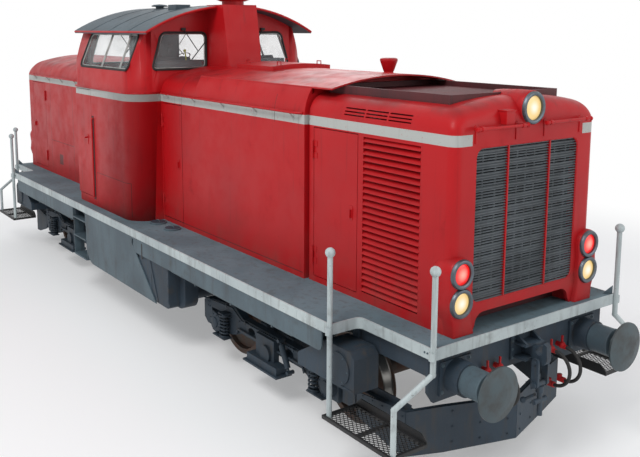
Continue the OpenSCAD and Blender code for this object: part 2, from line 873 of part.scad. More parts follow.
module lamp_rings() {
    color(steel) on_rail()
        both_ends() {
            both_sides()
                for (z = lamp_z)
                    ring(lamp_face_x - 20, lamp_face_x, lamp_r, lamp_r - 24, lamp_y, z);
            ring(headlight_face_x - 20, headlight_face_x, headlight_r, headlight_r - 24, 0, headlight_z);
        }
}

module ring(x0, x1, ro, ri, y, z) {
    difference() {
        bar_x(x0, x1, ro, y, z);
        bar_x(x0 - 1, x1 + 1, ri, y, z);
    }
}

// A lens: a shallow dome with a flat back
module lens(x, r, y, z) {
    dome = 18;
    rs = (r * r + dome * dome) / (2 * dome);
    translate([x, y, z]) rotate([0, 90, 0])
        rotate_extrude($fn = 96)
            intersection() {
                translate([0, dome - rs]) circle(rs, $fn = 720);
                square([r, 2 * dome]);
            }
}

module red_lenses() {
    color([0.9, 0.05, 0.04]) on_rail()
        both_ends() both_sides()
            lens(lamp_face_x - 20, lamp_r - 24 - seat, lamp_y, lamp_z[0]);
}

module white_lenses() {
    color([0.95, 0.83, 0.52]) on_rail()
        both_ends() {
            both_sides() lens(lamp_face_x - 20, lamp_r - 24 - seat, lamp_y, lamp_z[1]);
            lens(headlight_face_x - 20, headlight_r - 24 - seat, 0, headlight_z);
        }
}

// Handrails over the grille, gutters, horn box and the vent on the engine hood
gutter_z = 3128;
gutter_t = 22;

module hood_fittings() {
    color(red) on_rail() {
        // Gutters along the hoods
        both_sides() {
            hood_gutter(engine_hood_half_w, engine_hood_x[0] + 28, engine_hood_x[1]);
            mirror([1, 0, 0]) hood_gutter(rear_hood_half_w, rear_hood_x[0] + 28, rear_hood_x[1] - hood_corner_r);
        }
        // Handrails above the grille and at the rear end
        end_rails(radiator_hood_half_w, radiator_hood_x[1]);
        mirror([1, 0, 0]) end_rails(rear_hood_half_w, rear_hood_x[1]);
        // Raised covers over the engine
        difference() {
            on_crown(engine_hood_half_w, 435, 2980, 690, cover_t);
            block([0, -stack_half_w - seat, 3200], [stack_x[1] + seat, stack_half_w + seat, 3600]);
        }
        on_crown(engine_hood_half_w, 1137, 2040, 450, 3 * cover_t);
        // Vent with a mushroom cap in front of the covers
        difference() {
            union() {
                bar_z(hood_top_z - 60, hood_top_z + 70, 55, vent_at[0], vent_at[1]);
                bar_z(hood_top_z + 70, hood_top_z + 100, 95, vent_at[0], vent_at[1]);
                translate([vent_at[0], vent_at[1], hood_top_z + 100])
                    intersection() {
                        translate([0, 0, -40]) sphere(103);
                        cylinder(h = 80, r = 95);
                    }
            }
            slab_yz(engine_hood_x[0], engine_hood_x[1]) hood_section(engine_hood_half_w, -seat, hood_foot);
        }
        // Small box over the grille
        difference() {
            block([radiator_hood_x[1] - 60, -335, 3190], [radiator_hood_x[1] + 50, -265, 3290]);
            hood_form(radiator_hood_half_w, 5000, radiator_hood_x[1], -seat, hood_foot);
        }
    }
}
cover_t = 15;
vent_at = [3300, 300];

// A gutter along the side of a hood of half width w
module hood_gutter(w, x0, x1) {
    difference() {
        block([x0, w - 20, gutter_z], [x1, w + 28, gutter_z + gutter_t]);
        slab_yz(x0 - 1, x1 + 1) hood_section(w, -seat, hood_foot);
    }
}

// Two handrails on brackets across the end of a hood
module end_rails(w, x1) {
    difference() {
        for (s = [[-760, -130], [130, 760]]) {
            bar_y(s[0], s[1], 16, x1 + 71, rail_bar_z);
            for (y = [s[0] + 60, s[1] - 60])
                bar_x(x1 - 60, x1 + 71, 12, y, rail_bar_z);
        }
        hood_form(w, x1 - 500, x1, -seat, hood_foot);
    }
}
rail_bar_z = 3170;

// A plate of thickness t that lies on the crown of a hood
module on_crown(w, x0, x1, half_w, t) {
    difference() {
        slab_yz(x0, x1)
            intersection() {
                hood_section(w, -t, hood_foot);
                translate([-half_w, 3200]) square([2 * half_w, 400]);
            }
        slab_yz(x0 - 1, x1 + 1) hood_section(w, -seat, hood_foot);
    }
}

// Cab shapes

// Side profile of the cab: upright, then leaning in towards the roof
module cab_side_outline(t) {
    w = cab_half_w - t;
    top = 4400;
    polygon([
        [-w, hood_foot], [w, hood_foot], [w, lean_z - side_lean * t / 2],
        [w - side_lean * (top - lean_z), top], [-w + side_lean * (top - lean_z), top],
        [-w, lean_z - side_lean * t / 2]
    ]);
}

// The space under the roof, drawn in by t
module under_roof(t) {
    translate([0, roof_axis_z]) circle(roof_r - roof_t - t, $fn = 360);
}

// Closed cab form, drawn in by t
module cab_form(t, z0) {
    intersection() {
        translate([0, 0, z0])
            linear_extrude(4400 - z0)
                round_rect([cab_x[0] + t, -cab_half_w + t], [cab_x[1] - t, cab_half_w - t], cab_corner_r - t);
        slab_yz(cab_x[0], cab_x[1]) cab_side_outline(t);
        slab_yz(cab_x[0], cab_x[1])
            intersection() {
                under_roof(seat);
                translate([-2000, 1200]) square([4000, 3200]);
            }
    }
}

// Openings of the cab: side windows, end windows and doors
side_window_x = [-1668, 30];
side_window_z = [3440, 3925];
end_window_y = [280, 1010];
end_window_z = [3500, 3925];
window_r = 80;
cab_door = [-1850, -1255, 1510, 3110];

module side_window_prism(g) {
    slab_xz(0, cab_half_w + 20)
        round_rect([side_window_x[0] - g, side_window_z[0] - g], [side_window_x[1] + g, side_window_z[1] + g], window_r + g);
}

module end_window_prism(g, x0, x1) {
    slab_yz(x0, x1)
        round_rect([end_window_y[0] - g, end_window_z[0] - g], [end_window_y[1] + g, end_window_z[1] + g], window_r + g);
}

module all_window_prisms(g) {
    both_sides() {
        difference() {
            side_window_prism(g);
            block([-5000, -1, 0], [5000, 900, 5000]);
        }
        end_window_prism(g, cab_x[1] - 120, cab_x[1] + 20);
        end_window_prism(g, cab_x[0] - 20, cab_x[0] + 120);
    }
}

module cab_shell() {
    color(red) on_rail() {
        difference() {
            cab_form(0, hood_foot);
            cab_form(cab_wall, cab_floor_z);
            all_window_prisms(0);
            both_sides()
                block([cab_door[0], cab_half_w - 200, cab_door[2]], [cab_door[1], cab_half_w + 50, cab_door[3]]);
            // Hollow below the floor
            block([cab_x[0] + 400, -900, hood_foot - 1], [cab_x[1] - 400, 900, cab_floor_z - 40]);
        }
        both_sides() cab_frame_barrels();
        // Gutter round the cab
        difference() {
            translate([0, 0, gutter_z])
                linear_extrude(gutter_t)
                    round_rect([cab_x[0] - 26, -cab_half_w - 26], [cab_x[1] + 26, cab_half_w + 26], cab_corner_r);
            cab_form(5, hood_foot);
            block([cab_x[0] - 30, -rear_hood_half_w - 30, 3000], [cab_x[0] + 1, rear_hood_half_w + 30, 3300]);
            block([cab_x[1] - 1, -rear_hood_half_w - 30, 3000], [cab_x[1] + 30, rear_hood_half_w + 30, 3300]);
        }
    }
}

module cab_roof() {
    color(roof_grey) on_rail()
        difference() {
            slab_yz(roof_x[0], roof_x[1])
                difference() {
                    intersection() {
                        translate([0, roof_axis_z]) circle(roof_r, $fn = 360);
                        translate([-eave_half_w, eave_z - roof_t - 60])
                            square([2 * eave_half_w, roof_rise + 200]);
                    }
                    translate([0, roof_axis_z]) circle(roof_r - roof_t, $fn = 360);
                }
            // Notch for the exhaust casing
            block([stack_x[0] - seat, -stack_half_w - seat, eave_z], [roof_x[1] + 1, stack_half_w + seat, 4400]);
        }
}
roof_r = (eave_half_w * eave_half_w + roof_rise * roof_rise) / (2 * roof_rise);
roof_axis_z = eave_z + roof_rise - roof_r;

module cab_glass() {
    color([0.75, 0.82, 0.84]) on_rail()
        intersection() {
            all_window_prisms(-seat);
            difference() {
                cab_form(18, hood_foot);
                cab_form(18 + glass_t, hood_foot - 1);
            }
        }
}

// Cab inside: low floor at the doors, a raised platform with desks and seats, a locker
platform_x = -1225;
platform_z = 2350;
platform_t = 40;

module cab_interior() {
    inner_w = cab_half_w - cab_wall - seat;
    front_x = cab_x[1] - cab_wall - seat;
    color([0.20, 0.23, 0.25]) on_rail() {
        block([platform_x, -inner_w + cab_corner_r, cab_floor_z],
              [platform_x + platform_t, inner_w - cab_corner_r, platform_z]);
        block([platform_x, -inner_w, platform_z - platform_t], [front_x - cab_corner_r, inner_w, platform_z]);
        block([front_x - cab_corner_r, -inner_w + cab_corner_r, platform_z - platform_t],
              [front_x, inner_w - cab_corner_r, platform_z]);
        both_sides() {
            // Driving desk against the front wall
            slab_xz(330, 1060)
                polygon([
                    [-330, platform_z], [front_x, platform_z], [front_x, 3560], [-60, 3560], [-380, 3400],
                    [-380, 3340], [-330, 3300]
                ]);
            // Seat on its pedestal
            bar_z(platform_z, 2850, 45, -800, 800);
            block([-1030, 570, 2850], [-570, 1030, 2950]);
            block([-1080, 590, 2900], [-1000, 1010, 3450]);
        }
        // Locker against the rear wall
        block([cab_x[0] + cab_wall + seat, -500, cab_floor_z], [cab_x[0] + 400, 500, 3300]);
    }
}

// Exhaust casing in front of the cab
stack_x = [cab_x[1] + seat, 760];
stack_half_w = 265;
stack_top = 4310;
stack_lean = 150;

module exhaust_stack() {
    color(red) on_rail()
        difference() {
            intersection() {
                slab_xz(-stack_half_w, stack_half_w)
                    polygon([
                        [stack_x[0], 3300], [stack_x[1], 3300], [stack_x[1], 3450],
                        [stack_x[1] - stack_lean, stack_top], [stack_x[0], stack_top]
                    ]);
                translate([0, 0, 3300])
                    linear_extrude(1100)
                        round_rect([stack_x[0] - 100, -stack_half_w], [stack_x[1], stack_half_w], 60);
            }
            slab_yz(stack_x[0] - 1, stack_x[1] + 1) hood_section(engine_hood_half_w, -seat, hood_foot);
        }
    // Outlet with its flat dish
    color(black) on_rail() {
        bar_z(stack_top, stack_top + 50, 150, outlet_x, 0);
        translate([outlet_x, 0, stack_top + 50]) cylinder(h = 26, r1 = 170, r2 = 245, $fn = 96);
        bar_z(stack_top + 76, stack_top + 92, 245, outlet_x, 0);
    }
}
outlet_x = 430;

// Cab doors, opening inwards; the hinges are on the inner face
cab_hinge_r = 10;
cab_hinge_y = -cab_wall - cab_hinge_r - 2;
cab_hinge_x = cab_door[0] + door_gap + 4;
cab_hinge_z = [cab_door[2] + 250, cab_door[3] - 350];

module cab_frame_barrels() {
    for (z = cab_hinge_z, s = [z - barrel_h - 1, z + barrel_h + 1]) {
        bar_z(s, s + barrel_h, cab_hinge_r, cab_hinge_x, cab_half_w + cab_hinge_y);
        block([cab_door[0] - 40, cab_half_w + cab_hinge_y - cab_hinge_r, s],
              [cab_door[0] + door_gap - 2, cab_half_w - cab_wall + 1, s + barrel_h]);
    }
}

module cab_door_leaf() {
    d = cab_door;
    w = cab_half_w;
    color(red) on_rail() {
        block([d[0] + door_gap, w - cab_wall, d[2] + door_gap], [d[1] - door_gap, w, d[3] - door_gap]);
        for (z = cab_hinge_z) {
            bar_z(z, z + barrel_h, cab_hinge_r, cab_hinge_x, w + cab_hinge_y);
            block([cab_hinge_x, w + cab_hinge_y - cab_hinge_r, z],
                  [d[0] + 70, w - cab_wall, z + barrel_h]);
        }
        // Handle on its plate
        block([d[1] - 190, w, 2290], [d[1] - 150, w + 6, 2440]);
        bar_y(w + 6, w + 45, 10, d[1] - 170, 2390);
        bar_x(d[1] - 290, d[1] - 160, 10, w + 45, 2390);
    }
}

// Bogies, each drawn round its own pivot

// Side frame outline along X and Z, seen from the side
module bogie_side_outline() {
    difference() {
        polygon([
            [-1480, 430], [-1480, 650], [-1400, 700], [-750, side_frame_top], [-560, 660], [560, 660],
            [750, side_frame_top], [1400, 700], [1480, 650], [1480, 430], [1400, 370], [1290, 370],
            [1290, pedestal_z], [910, pedestal_z], [910, 370], [720, 420], [600, 470], [-600, 470],
            [-720, 420], [-910, 370], [-910, pedestal_z], [-1290, pedestal_z], [-1290, 370], [-1400, 370]
        ]);
        for (x = [-380, 380])
            translate([x, 560]) scale([1, 0.6]) circle(70);
    }
}

module bogie_frame() {
    on_rail() {
        both_sides() {
            slab_xz(bogie_in_half_w, bogie_in_half_w + bogie_side_t) bogie_side_outline();
            // Spring cradle foot below the middle
            block([-260, bogie_in_half_w + bogie_side_t, 320], [330, 1250, 400]);
            block([-300, bogie_in_half_w + bogie_side_t - 40, 300], [370, 1280, 320]);
            block([-180, bogie_in_half_w + bogie_side_t, 400], [180, 1180, 640]);
            bar_y(1180, 1210, 95, 33, 462);
            // Side bearer
            block([-120, 690, transom_z[1]], [120, 910, bolster_z - run_gap]);
        }
        difference() {
            union() {
                for (x = [-330, 190])
                    block([x, -bogie_in_half_w, transom_z[0]], [x + 140, bogie_in_half_w, transom_z[1]]);
                bar_z(transom_z[0], transom_z[1], 215, 0, 0);
                block([-190, -910, transom_z[0] + 20], [190, 910, transom_z[1]]);
            }
            bar_z(transom_z[0] - 1, transom_z[1] + 1, pin_d / 2 + run_gap, 0, 0);
        }
    }
}

// Axle boxes with their coil springs, gear cases and brake gear
box_cover_r = 120;

module running_gear() {
    on_rail() {
        for (ax = [-axle_half, axle_half]) {
            both_sides() {
                difference() {
                    union() {
                        block([ax - 150, bogie_in_half_w - 30, wheel_r - 130],
                                  [ax + 150, bogie_in_half_w + bogie_side_t + 20, wheel_r + 95]);
                        // Spring up to the frame
                        bar_z(wheel_r + 95, pedestal_z, 60, ax, bogie_in_half_w + bogie_side_t / 2);
                        bar_y(bogie_in_half_w + bogie_side_t + 20, bogie_in_half_w + bogie_side_t + 60,
                              box_cover_r, ax, wheel_r);
                    }
                    bar_y(bogie_in_half_w - 31, bogie_in_half_w + bogie_side_t + 20, journal_d / 2 + run_gap, ax, wheel_r);
                }
            }
        }
    }
}

// Rail guard: a V of two plates in front of the bogie with a wing on each side
guard_tip_x = 5505 - pivot_x;
guard_z = [150, 600];

module rail_guard() {
    on_rail()
        difference() {
            union() {
                both_sides() {
                    translate([0, 0, guard_z[0]])
                        linear_extrude(guard_z[1] - guard_z[0])
                            polygon([
                                [guard_tip_x, 0], [2146, 1070], [1500, 1105], [1500, 1093],
                                [2140, 1058], [guard_tip_x - 18, 0]
                            ]);
                    // Carrier arm from the bogie's end beam
                    translate([0, 0, 560])
                        linear_extrude(60)
                            polygon([[1480, 930], [1480, 1090], [1510, 1093], [2140, 1058], [2140, 930]]);
                }
            }
            block([2300, -200, 500], [2600, 200, 700]);
        }
}

// Wheelset: an axle with two wheels turned in one piece
module wheelset(x) {
    half_gap = back_to_back / 2;
    color(steel)
        translate([x, 0, rail_z + wheel_r])
            rotate([90, 0, 0]) {
                cylinder(h = 2 * (bogie_in_half_w + bogie_side_t), r = journal_d / 2, center = true);
                cylinder(h = 2 * 960, r = 85, center = true);
                for (s = [0, 1])
                    mirror([0, 0, s])
                        rotate_extrude($fn = 128)
                            polygon([
                                [80, half_gap - 25], [140, half_gap - 25], [150, half_gap + 30],
                                [395, half_gap + 50], [405, half_gap + 4], [wheel_r + flange_h - 10, half_gap],
                                [wheel_r + flange_h, half_gap + 12], [wheel_r + flange_h - 6, half_gap + 26],
                                [wheel_r, half_gap + 38], [wheel_r - 2, half_gap + rim_width - 6],
                                [wheel_r - 8, half_gap + rim_width], [405, half_gap + rim_width],
                                [395, half_gap + 78], [150, half_gap + 62], [140, half_gap + 150],
                                [80, half_gap + 150]
                            ]);
            }
}

deck();
deck_rim();
main_frame();
side_valances();
fuel_tank();
cab_steps();
end_steps();
handrail_posts();
buffer_sleeves();
buffer_heads();
draw_gear();
brake_cocks();
brake_hoses();
sandboxes();
radiator_hood();
engine_hood();
rear_hood();
engine_block();
radiator_grille();
side_louvres();
fan_coaming();
cooling_fan();
hood_fittings();
lamp_housings();
lamp_rings();
red_lenses();
white_lenses();
cab_shell();
cab_roof();
cab_glass();
cab_interior();
exhaust_stack();
cab_door_leaf();  // cab_door_left
mirror([0, 1, 0]) cab_door_leaf();  // cab_door_right
hood_door(engine_door, engine_hood_half_w);  // engine_door_left
mirror([0, 1, 0]) hood_door(engine_door, engine_hood_half_w);  // engine_door_right
hood_door(radiator_door, radiator_hood_half_w);  // radiator_door_left
mirror([0, 1, 0]) hood_door(radiator_door, radiator_hood_half_w);  // radiator_door_right
mirror([1, 0, 0]) hood_door(rear_door, rear_hood_half_w);  // rear_door_left
rotate([0, 0, 180]) hood_door(rear_door, rear_hood_half_w);  // rear_door_right
color(blue_grey) translate([pivot_x, 0, 0]) bogie_frame();  // bogie_frame_front
color(blue_grey) translate([-pivot_x, 0, 0]) mirror([1, 0, 0]) bogie_frame();  // bogie_frame_rear
color(frame_grey) translate([pivot_x, 0, 0]) running_gear();  // running_gear_front
color(frame_grey) translate([-pivot_x, 0, 0]) mirror([1, 0, 0]) running_gear();  // running_gear_rear
color(blue_grey) translate([pivot_x, 0, 0]) rail_guard();  // rail_guard_front
color(blue_grey) translate([-pivot_x, 0, 0]) mirror([1, 0, 0]) rail_guard();  // rail_guard_rear
wheelset(pivot_x + axle_half);  // wheelset_1
wheelset(pivot_x - axle_half);  // wheelset_2
wheelset(-pivot_x + axle_half);  // wheelset_3
wheelset(-pivot_x - axle_half);  // wheelset_4
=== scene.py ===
import bpy
import bmesh
import math
import random
from mathutils import Vector, Matrix


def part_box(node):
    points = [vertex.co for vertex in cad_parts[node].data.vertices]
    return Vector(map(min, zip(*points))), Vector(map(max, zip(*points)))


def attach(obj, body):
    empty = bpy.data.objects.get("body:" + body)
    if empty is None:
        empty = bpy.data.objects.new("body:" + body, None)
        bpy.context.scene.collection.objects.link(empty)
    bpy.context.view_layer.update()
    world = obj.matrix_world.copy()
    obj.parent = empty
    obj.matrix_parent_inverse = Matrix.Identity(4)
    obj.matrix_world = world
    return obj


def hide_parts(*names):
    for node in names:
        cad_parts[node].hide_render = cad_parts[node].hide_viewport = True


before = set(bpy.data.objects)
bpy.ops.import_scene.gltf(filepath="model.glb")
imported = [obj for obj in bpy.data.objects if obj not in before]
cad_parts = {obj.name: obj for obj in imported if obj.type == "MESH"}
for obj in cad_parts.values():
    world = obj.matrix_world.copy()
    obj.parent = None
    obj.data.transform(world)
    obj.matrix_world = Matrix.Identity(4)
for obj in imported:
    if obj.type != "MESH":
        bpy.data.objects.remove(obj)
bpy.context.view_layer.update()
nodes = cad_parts
scene = bpy.context.scene
print("frame loaded:", len(nodes), "nodes")

# The rail top lies this far above the origin
railTop = 0.028

# ---- camera

cameraLook = {
    "position": (10.191, -5.854, 4.003 + railTop),
    "azimuth": 55.034,
    "elevation": 8.588,
    "focalPixels": 816.0,
    "centrePixels": (291.0, 151.0),
    "imageSize": (640, 457),
}


def makeCamera():
    look = cameraLook
    width, height = look["imageSize"]
    data = bpy.data.cameras.new("camera")
    data.sensor_width = 36.0
    data.sensor_fit = "HORIZONTAL"
    data.lens = look["focalPixels"] * 36.0 / width
    data.shift_x = (width / 2 - look["centrePixels"][0]) / width
    data.shift_y = -(height / 2 - look["centrePixels"][1]) / width
    data.clip_start = 0.1
    data.clip_end = 400.0
    cam = bpy.data.objects.new("camera", data)
    scene.collection.objects.link(cam)
    a, e = math.radians(look["azimuth"]), math.radians(look["elevation"])
    back = Vector((math.sin(a) * math.cos(e), -math.cos(a) * math.cos(e), math.sin(e)))
    cam.location = look["position"]
    cam.rotation_mode = "QUATERNION"
    cam.rotation_quaternion = (-back).to_track_quat("-Z", "Y")
    scene.camera = cam


makeCamera()

# ---- shader helpers


class Wire:
    # A socket that can be used in sums, so maps read like formulas
    def __init__(self, net, socket):
        self.net = net
        self.socket = socket

    def _op(self, operation, other=None, third=None):
        return self.net.math(operation, self, other, third)

    def __add__(self, other):
        return self._op("ADD", other)

    __radd__ = __add__

    def __sub__(self, other):
        return self._op("SUBTRACT", other)

    def __rsub__(self, other):
        return self.net.math("SUBTRACT", other, self)

    def __mul__(self, other):
        return self._op("MULTIPLY", other)

    __rmul__ = __mul__

    def __truediv__(self, other):
        return self._op("DIVIDE", other)

    def __gt__(self, other):
        return self._op("GREATER_THAN", other)

    def __lt__(self, other):
        return self._op("LESS_THAN", other)

    def abs(self):
        return self._op("ABSOLUTE")

    def power(self, other):
        return self._op("POWER", other)

    def max(self, other):
        return self._op("MAXIMUM", other)

    def min(self, other):
        return self._op("MINIMUM", other)

    def wrap(self, high, low=0.0):
        return self._op("WRAP", high, low)

    def clip(self):
        return self.net.math("ADD", self, 0.0, clamp=True)


class Net:
    # One material's node tree
    def __init__(self, name):
        self.material = bpy.data.materials.new(name)
        self.material.use_nodes = True
        self.tree = self.material.node_tree
        self.tree.nodes.clear()
        self.output = self.tree.nodes.new("ShaderNodeOutputMaterial")
        self.shader = self.tree.nodes.new("ShaderNodeBsdfPrincipled")
        self.tree.links.new(self.shader.outputs[0], self.output.inputs[0])
        self.place = None

    def feed(self, socket, value):
        if isinstance(value, Wire):
            self.tree.links.new(value.socket, socket)
        elif value is not None:
            if socket.type == "RGBA" and len(value) == 3:
                value = (*value, 1.0)
            socket.default_value = value

    def node(self, kind, settings=None, inputs=None, out=0):
        made = self.tree.nodes.new(kind)
        for key, value in (settings or {}).items():
            setattr(made, key, value)
        for key, value in (inputs or {}).items():
            self.feed(made.inputs[key], value)
        return Wire(self, made.outputs[out])

    def math(self, operation, a, b=None, c=None, clamp=False):
        made = self.tree.nodes.new("ShaderNodeMath")
        made.operation = operation
        made.use_clamp = clamp
        for index, value in enumerate((a, b, c)):
            self.feed(made.inputs[index], value)
        return Wire(self, made.outputs[0])

    def position(self):
        if self.place is None:
            self.place = self.node("ShaderNodeTexCoord", out="Object")
            split = self.tree.nodes.new("ShaderNodeSeparateXYZ")
            self.feed(split.inputs[0], self.place)
            self.x, self.y, self.z = [Wire(self, split.outputs[i]) for i in range(3)]
        return self.place

    def stretched(self, sx, sy, sz, base=None):
        return self.node("ShaderNodeVectorMath", {"operation": "MULTIPLY"},
                         {0: base or self.position(), 1: (sx, sy, sz)})

    def noise(self, scale, detail=4.0, roughness=0.55, vector=None, distortion=0.0):
        return self.node("ShaderNodeTexNoise", {}, {
            "Vector": vector or self.position(), "Scale": scale, "Detail": detail,
            "Roughness": roughness, "Distortion": distortion}, out=0)

    def cells(self, scale, vector=None, feature="F1", randomness=1.0):
        return self.node("ShaderNodeTexVoronoi", {"feature": feature}, {
            "Vector": vector or self.position(), "Scale": scale, "Randomness": randomness}, out="Distance")

    def ramp(self, value, low, high):
        return self.node("ShaderNodeMapRange", {"interpolation_type": "SMOOTHSTEP"}, {
            "Value": value, "From Min": low, "From Max": high})

    def mix(self, amount, a, b):
        made = self.tree.nodes.new("ShaderNodeMix")
        made.data_type = "RGBA"
        self.feed(made.inputs[0], amount)
        self.feed(made.inputs[6], a)
        self.feed(made.inputs[7], b)
        return Wire(self, made.outputs[2])

    def bump(self, height, strength, distance=0.002):
        bumped = self.node("ShaderNodeBump", {}, {
            "Height": height, "Strength": strength, "Distance": distance})
        self.feed(self.shader.inputs["Normal"], bumped)

    def set(self, **values):
        for key, value in values.items():
            self.feed(self.shader.inputs[key.replace("_", " ")], value)


def linear(r, g, b):
    return tuple(((c / 255 + 0.055) / 1.055) ** 2.4 if c > 10 else c / 255 / 12.92 for c in (r, g, b))


def geometryNormal(net):
    made = net.tree.nodes.new("ShaderNodeNewGeometry")
    split = net.tree.nodes.new("ShaderNodeSeparateXYZ")
    net.tree.links.new(made.outputs["Normal"], split.inputs[0])
    return [Wire(net, split.outputs[i]) for i in range(3)]


# ---- materials

redPaint = {
    # Upright seams (x, from, to) and level ones (z, from, to) in the side panels
    "uprights": ((0.756, 1.40, 3.36), (-1.105, 1.44, 1.905), (0.012, 1.44, 1.905), (-3.188, 1.41, 3.02),
                 (-4.308, 1.41, 3.3), (-2.44, 1.41, 1.72), (2.92, 3.0, 3.3)),
    "levels": ((1.905, -1.105, 0.012), (2.0, -4.308, -3.188), (1.72, -2.44, -2.06), (1.452, 0.2, 3.45)),
    # Square vent in the rear hood (x, z, half its side), painted dark as the shade in its opening
    "drain": (-3.835, 1.694, 0.09),
    "red": linear(174, 17, 23),
    "fadedRed": linear(158, 21, 27),
    "darkRed": linear(108, 12, 16),
    "stripe": linear(170, 172, 168),
    "stripeHeights": (3.024 + railTop, 3.121 + railTop),
    "stripeEndY": 0.742,
    "dust": linear(104, 92, 84),
    # Soot on the paint, also used as the painted shade of the vent square
    "sootAndShade": linear(48, 30, 30),
    "rust": linear(88, 48, 32),
}


def makeRed(name, withStripe=True):
    net = Net(name)
    net.position()
    tones = redPaint
    broad = net.noise(0.9, 3.0)
    patch = net.noise(4.5, 5.0)
    fine = net.noise(60.0, 4.0)
    streak = net.noise(3.0, 5.0, vector=net.stretched(5.0, 5.0, 0.35))
    colour = net.mix(net.ramp(broad, 0.35, 0.7) * 0.7, tones["red"], tones["fadedRed"])
    colour = net.mix(net.ramp(patch, 0.62, 0.8) * 0.35, colour, tones["darkRed"])
    if withStripe:
        low, high = tones["stripeHeights"]
        inBand = (net.z > low) * (net.z < high)
        onEnd = (net.x.abs() > 5.40) * (net.y.abs() < tones["stripeEndY"])
        stripe = inBand * (1.0 - onEnd)
        worn = net.ramp(net.noise(38.0, 6.0, 0.7), 0.60, 0.68)
        colour = net.mix(stripe * (1.0 - worn * 0.7), colour, tones["stripe"])
    seamsAndVentShade = 0.0
    for x, low, high in tones["uprights"]:
        seamsAndVentShade = seamsAndVentShade + ((net.x - x).abs() < 0.005) * (net.z > low + railTop) * (net.z < high + railTop)
    for z, low, high in tones["levels"]:
        seamsAndVentShade = seamsAndVentShade + ((net.z - (z + railTop)).abs() < 0.005) * (net.x > low) * (net.x < high)
    # The vent square is darkened with the seams: painted shade of its opening
    x, z, half = tones["drain"]
    ventShade = ((net.x - x).abs() < half) * ((net.z - (z + railTop)).abs() < half)
    seamsAndVentShade = (seamsAndVentShade + ventShade) * (net.y.abs() > 0.8)
    colour = net.mix(seamsAndVentShade * 0.75, colour, tones["sootAndShade"])
    # Rain streaks, dust near the walkway, chips with rust
    colour = net.mix(net.ramp(streak, 0.56, 0.8) * 0.32, colour, tones["sootAndShade"])
    low = net.ramp(net.z, 2.1, 1.40)
    colour = net.mix(low * net.ramp(patch, 0.30, 0.75) * 0.24, colour, tones["dust"])
    nx, ny, nz = geometryNormal(net)
    top = net.ramp(nz, 0.55, 0.95)
    colour = net.mix(top * net.ramp(net.noise(2.6, 5.0), 0.35, 0.7) * 0.45, colour, tones["sootAndShade"])
    chips = net.ramp(net.noise(24.0, 8.0, 0.72), 0.675, 0.70)
    nearSoot = net.ramp((net.z - 1.45).abs(), 0.35, 0.02)
    colour = net.mix(chips * (0.35 + 0.6 * nearSoot), colour, tones["rust"])
    rough = 0.36 + 0.2 * net.ramp(patch, 0.3, 0.8) + 0.2 * low + 0.15 * chips
    net.set(Base_Color=colour, Roughness=rough, Coat_Weight=0.05, Coat_Roughness=0.2, IOR=1.5,
            Specular_IOR_Level=0.2)
    dents = net.noise(2.2, 2.0) * 2.5 + fine * 0.05 + patch * 0.12 - seamsAndVentShade * 0.6
    net.bump(dents, 0.22, 0.01)
    return net.material


paintKinds = {
    "deck": {"base": linear(98, 119, 127), "other": linear(82, 102, 110), "dirt": linear(72, 70, 66),
             "rust": linear(96, 62, 44), "roughness": 0.72, "dirtShare": 0.55, "grain": 90.0},
    "rim": {"base": linear(184, 194, 194), "other": linear(162, 172, 174), "dirt": linear(92, 90, 86),
            "rust": linear(84, 58, 44), "roughness": 0.5, "dirtShare": 0.5, "grain": 60.0},
    "frame": {"base": linear(82, 98, 106), "other": linear(68, 82, 90), "dirt": linear(58, 56, 54),
              "rust": linear(82, 56, 42), "roughness": 0.55, "dirtShare": 0.5, "grain": 50.0},
    "underframe": {"base": linear(46, 60, 72), "other": linear(36, 47, 57), "dirt": linear(66, 58, 50),
                   "rust": linear(78, 52, 38), "roughness": 0.62, "dirtShare": 0.6, "grain": 55.0},
    "roof": {"base": linear(76, 90, 98), "other": linear(60, 72, 80), "dirt": linear(40, 38, 38),
             "rust": linear(70, 52, 42), "roughness": 0.6, "dirtShare": 0.5, "grain": 40.0},
    "iron": {"base": linear(26, 27, 29), "other": linear(38, 38, 39), "dirt": linear(58, 50, 44),
             "rust": linear(74, 50, 36), "roughness": 0.55, "dirtShare": 0.4, "grain": 70.0},
    # Darker copy of the body red for the fan well, the handrail niches and the panel behind the arch: painted shade of
    # these recesses
    "well": {"base": linear(80, 28, 32), "other": linear(66, 24, 28), "dirt": linear(38, 26, 26),
             "rust": linear(70, 42, 32), "roughness": 0.6, "dirtShare": 0.6, "grain": 40.0},
    "cab": {"base": linear(70, 76, 80), "other": linear(60, 66, 70), "dirt": linear(40, 38, 38),
            "rust": linear(60, 50, 44), "roughness": 0.55, "dirtShare": 0.3, "grain": 60.0},
    "grille": {"base": linear(104, 110, 114), "other": linear(82, 88, 92), "dirt": linear(48, 44, 42),
               "rust": linear(70, 52, 42), "roughness": 0.45, "dirtShare": 0.55, "grain": 80.0},
}


def makePaint(name):
    kind = paintKinds[name]
    net = Net(name)
    net.position()
    broad = net.noise(1.3, 4.0)
    patch = net.noise(6.0, 6.0)
    grain = net.noise(kind["grain"], 5.0)
    streak = net.noise(4.0, 5.0, vector=net.stretched(4.0, 4.0, 0.5))
    colour = net.mix(net.ramp(broad, 0.35, 0.65), kind["base"], kind["other"])
    colour = net.mix(net.ramp(streak, 0.5, 0.75) * kind["dirtShare"] * 0.8, colour, kind["dirt"])
    colour = net.mix(net.ramp(patch, 0.55, 0.8) * kind["dirtShare"], colour, kind["dirt"])
    chips = net.ramp(net.noise(30.0, 8.0, 0.72), 0.64, 0.67)
    colour = net.mix(chips * 0.8, colour, kind["rust"])
    rough = kind["roughness"] + 0.2 * (grain - 0.5) + 0.12 * chips
    net.set(Base_Color=colour, Roughness=rough, IOR=1.45)
    net.bump(grain * 0.25 + patch * 0.5 - chips * 0.4, 0.28, 0.004)
    return net.material


